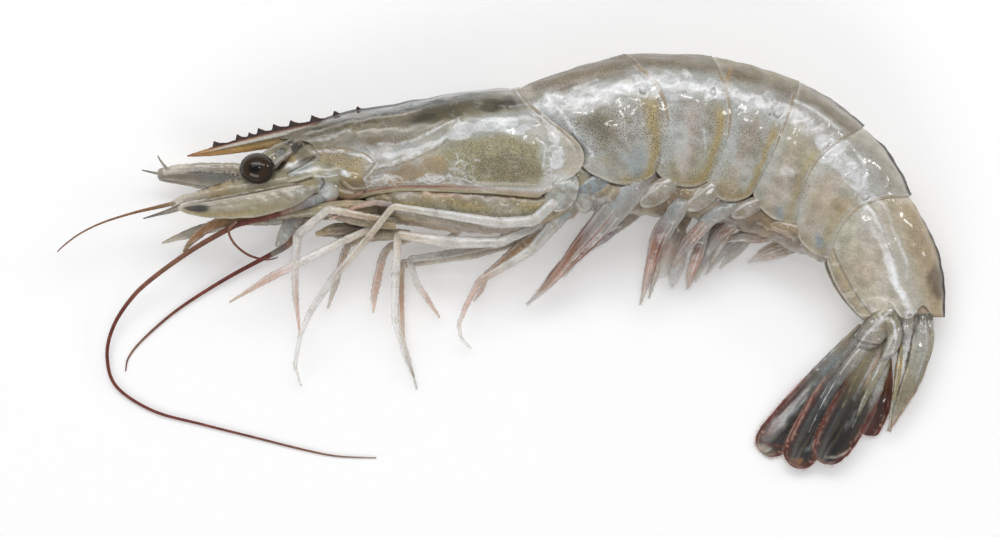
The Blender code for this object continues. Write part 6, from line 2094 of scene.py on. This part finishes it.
# %% Fan bases
# Name, tints from root to tip, node, route.
FAN_BASES = (
    ("base_left", "reed moss grey slate", "uropod_base_left", ((64.0, -7.6, 6.4, 1.6, 1.0),
      (62.3, -9.0, 7.1, 2.4, 1.3), (60.3, -11.0, 7.1, 2.4, 1.2), (58.4, -13.0, 6.4, 1.7, 0.9),
      (57.4, -14.2, 5.7, 0.5, 0.3))),
    ("base_left_rib", "haze grey slate coal ink", "uropod_base_left", ((60.0, -12.0, 6.0, 1.0, 0.8),
      (57.2, -15.2, 5.5, 1.3, 0.8), (54.4, -19.0, 4.7, 1.0, 0.6), (51.8, -23.4, 3.8, 0.6, 0.5),
      (49.6, -27.8, 2.9, 0.1, 0.1))),
    ("base_left_lobe", "grey stone haze", "uropod_base_left", ((63.8, -10.0, 6.8, 0.7, 0.7),
      (63.2, -12.4, 7.3, 1.4, 1.0), (62.0, -14.8, 7.0, 1.0, 0.8), (61.2, -16.0, 6.4, 0.3, 0.2))),
    ("base_left_fold", "haze moss olive ink", "uropod_base_left", ((62.2, -14.6, 6.2, 0.8, 0.7),
      (60.6, -17.8, 5.9, 0.85, 0.6), (58.4, -22.4, 5.1, 0.5, 0.5), (56.6, -27.0, 4.2, 0.1, 0.1))),
    ("bridge", "reed stone pearl milk reed", "uropod_base_left", ((65.8, -6.6, 5.2, 1.6, 1.0),
      (65.2, -9.8, 5.8, 1.7, 1.0), (64.8, -13.4, 5.6, 1.2, 0.8), (64.4, -17.4, 5.0, 0.7, 0.5),
      (64.0, -20.0, 4.4, 0.2, 0.2))),
    ("tail_spike", "fern gold fern cream", "uropod_base_left", ((64.6, -11.4, 6.1, 0.55, 0.5),
      (64.2, -15.6, 5.6, 0.55, 0.5), (63.6, -20.2, 4.6, 0.42, 0.4), (62.9, -24.6, 3.7, 0.26, 0.25),
      (62.6, -27.0, 3.3, 0.08, 0.08))),
    ("base_right", "stone smoke grey smoke", "uropod_base_right", ((62.6, -8.6, 2.6, 1.4, 0.8),
      (60.4, -11.0, 2.7, 2.2, 0.9), (57.8, -13.6, 2.4, 1.9, 0.8), (55.4, -16.4, 2.0, 0.6, 0.4))),
    ("bridge_right", "stone grey smoke", "uropod_base_right", ((66.2, -6.6, 3.4, 2.0, 1.2),
      (65.6, -9.8, 3.4, 2.6, 1.3), (64.4, -14.0, 2.8, 1.2, 0.8))),
)
# Lines: colour, strength, width, height pressed out, route. The near-white lines are painted highlights.
BASE_LINES = (
    ("bark", 0.9, 0.16, -0.16, ((63.0, -7.8), (64.4, -10.2), (64.2, -13.4), (62.9, -16.4))),
    ("bark", 0.9, 0.16, -0.14, ((57.0, -12.6), (59.0, -13.3), (61.2, -13.4))),
    ("bark", 0.8, 0.14, -0.12, ((61.6, -9.6), (61.9, -12.0), (61.0, -15.0), (58.0, -19.4))),
    ("ink", 0.8, 0.14, -0.1, ((57.0, -13.8), (53.8, -18.0), (51.0, -22.8))),
    ("rose", 0.7, 0.2, 0.05, ((58.4, -12.6), (60.2, -13.0))),
    ("shine", 0.8, 0.22, 0.1, ((59.6, -9.8), (61.4, -9.2), (62.9, -9.8), (63.3, -12.4))),
    ("shine", 0.8, 0.2, 0.08, ((58.6, -11.4), (60.6, -10.8))),
    ("shine", 0.7, 0.14, 0.08, ((62.8, -14.6), (63.4, -12.6))),
    ("umber", 0.7, 0.7, -0.05, ((60.6, -10.4), (62.0, -11.0))),
    ("coal", 0.5, 0.5, -0.05, ((61.8, -8.8), (62.8, -8.6))),
    ("bark", 0.8, 0.16, -0.14, ((66.5, -7.0), (66.4, -10.6), (65.8, -14.0), (65.0, -17.0))),
    ("gold", 0.6, 0.5, 0.0, ((65.2, -6.6), (65.0, -8.6))),
)


def make_fan_base(name, tints, node, route):
    piece, points, t, edge = limb(f"fan_{name}", route, 101, 40)
    tint = graded(tints, t)
    glaze(tint,
          smoke=0.6 * rise(ripple(points, 1.8, 182), 0.0, 0.8),
          # A torn near-white streak along the part is a painted highlight.
          shine=0.6 * torn(hump(edge, -0.3, 0.2), points * (0.5, 0.5, 1.0), 1.8, 183, 0.8),
          bark=0.8 * hump(np.abs(edge), 0.98, 0.12))
    relief = 0.1 * ripple(points, 2.4, 172) + 0.04 * ripple(points, 0.9, 181)
    paint_lines(tint, relief, points[:, :2], BASE_LINES)
    dress(piece, FAN, "shell", node, tint, relief, speck=0.3, wet=0.4)


for row in FAN_BASES:
    make_fan_base(*row)
print(len(FAN_BASES), "parts of the fan's bases")
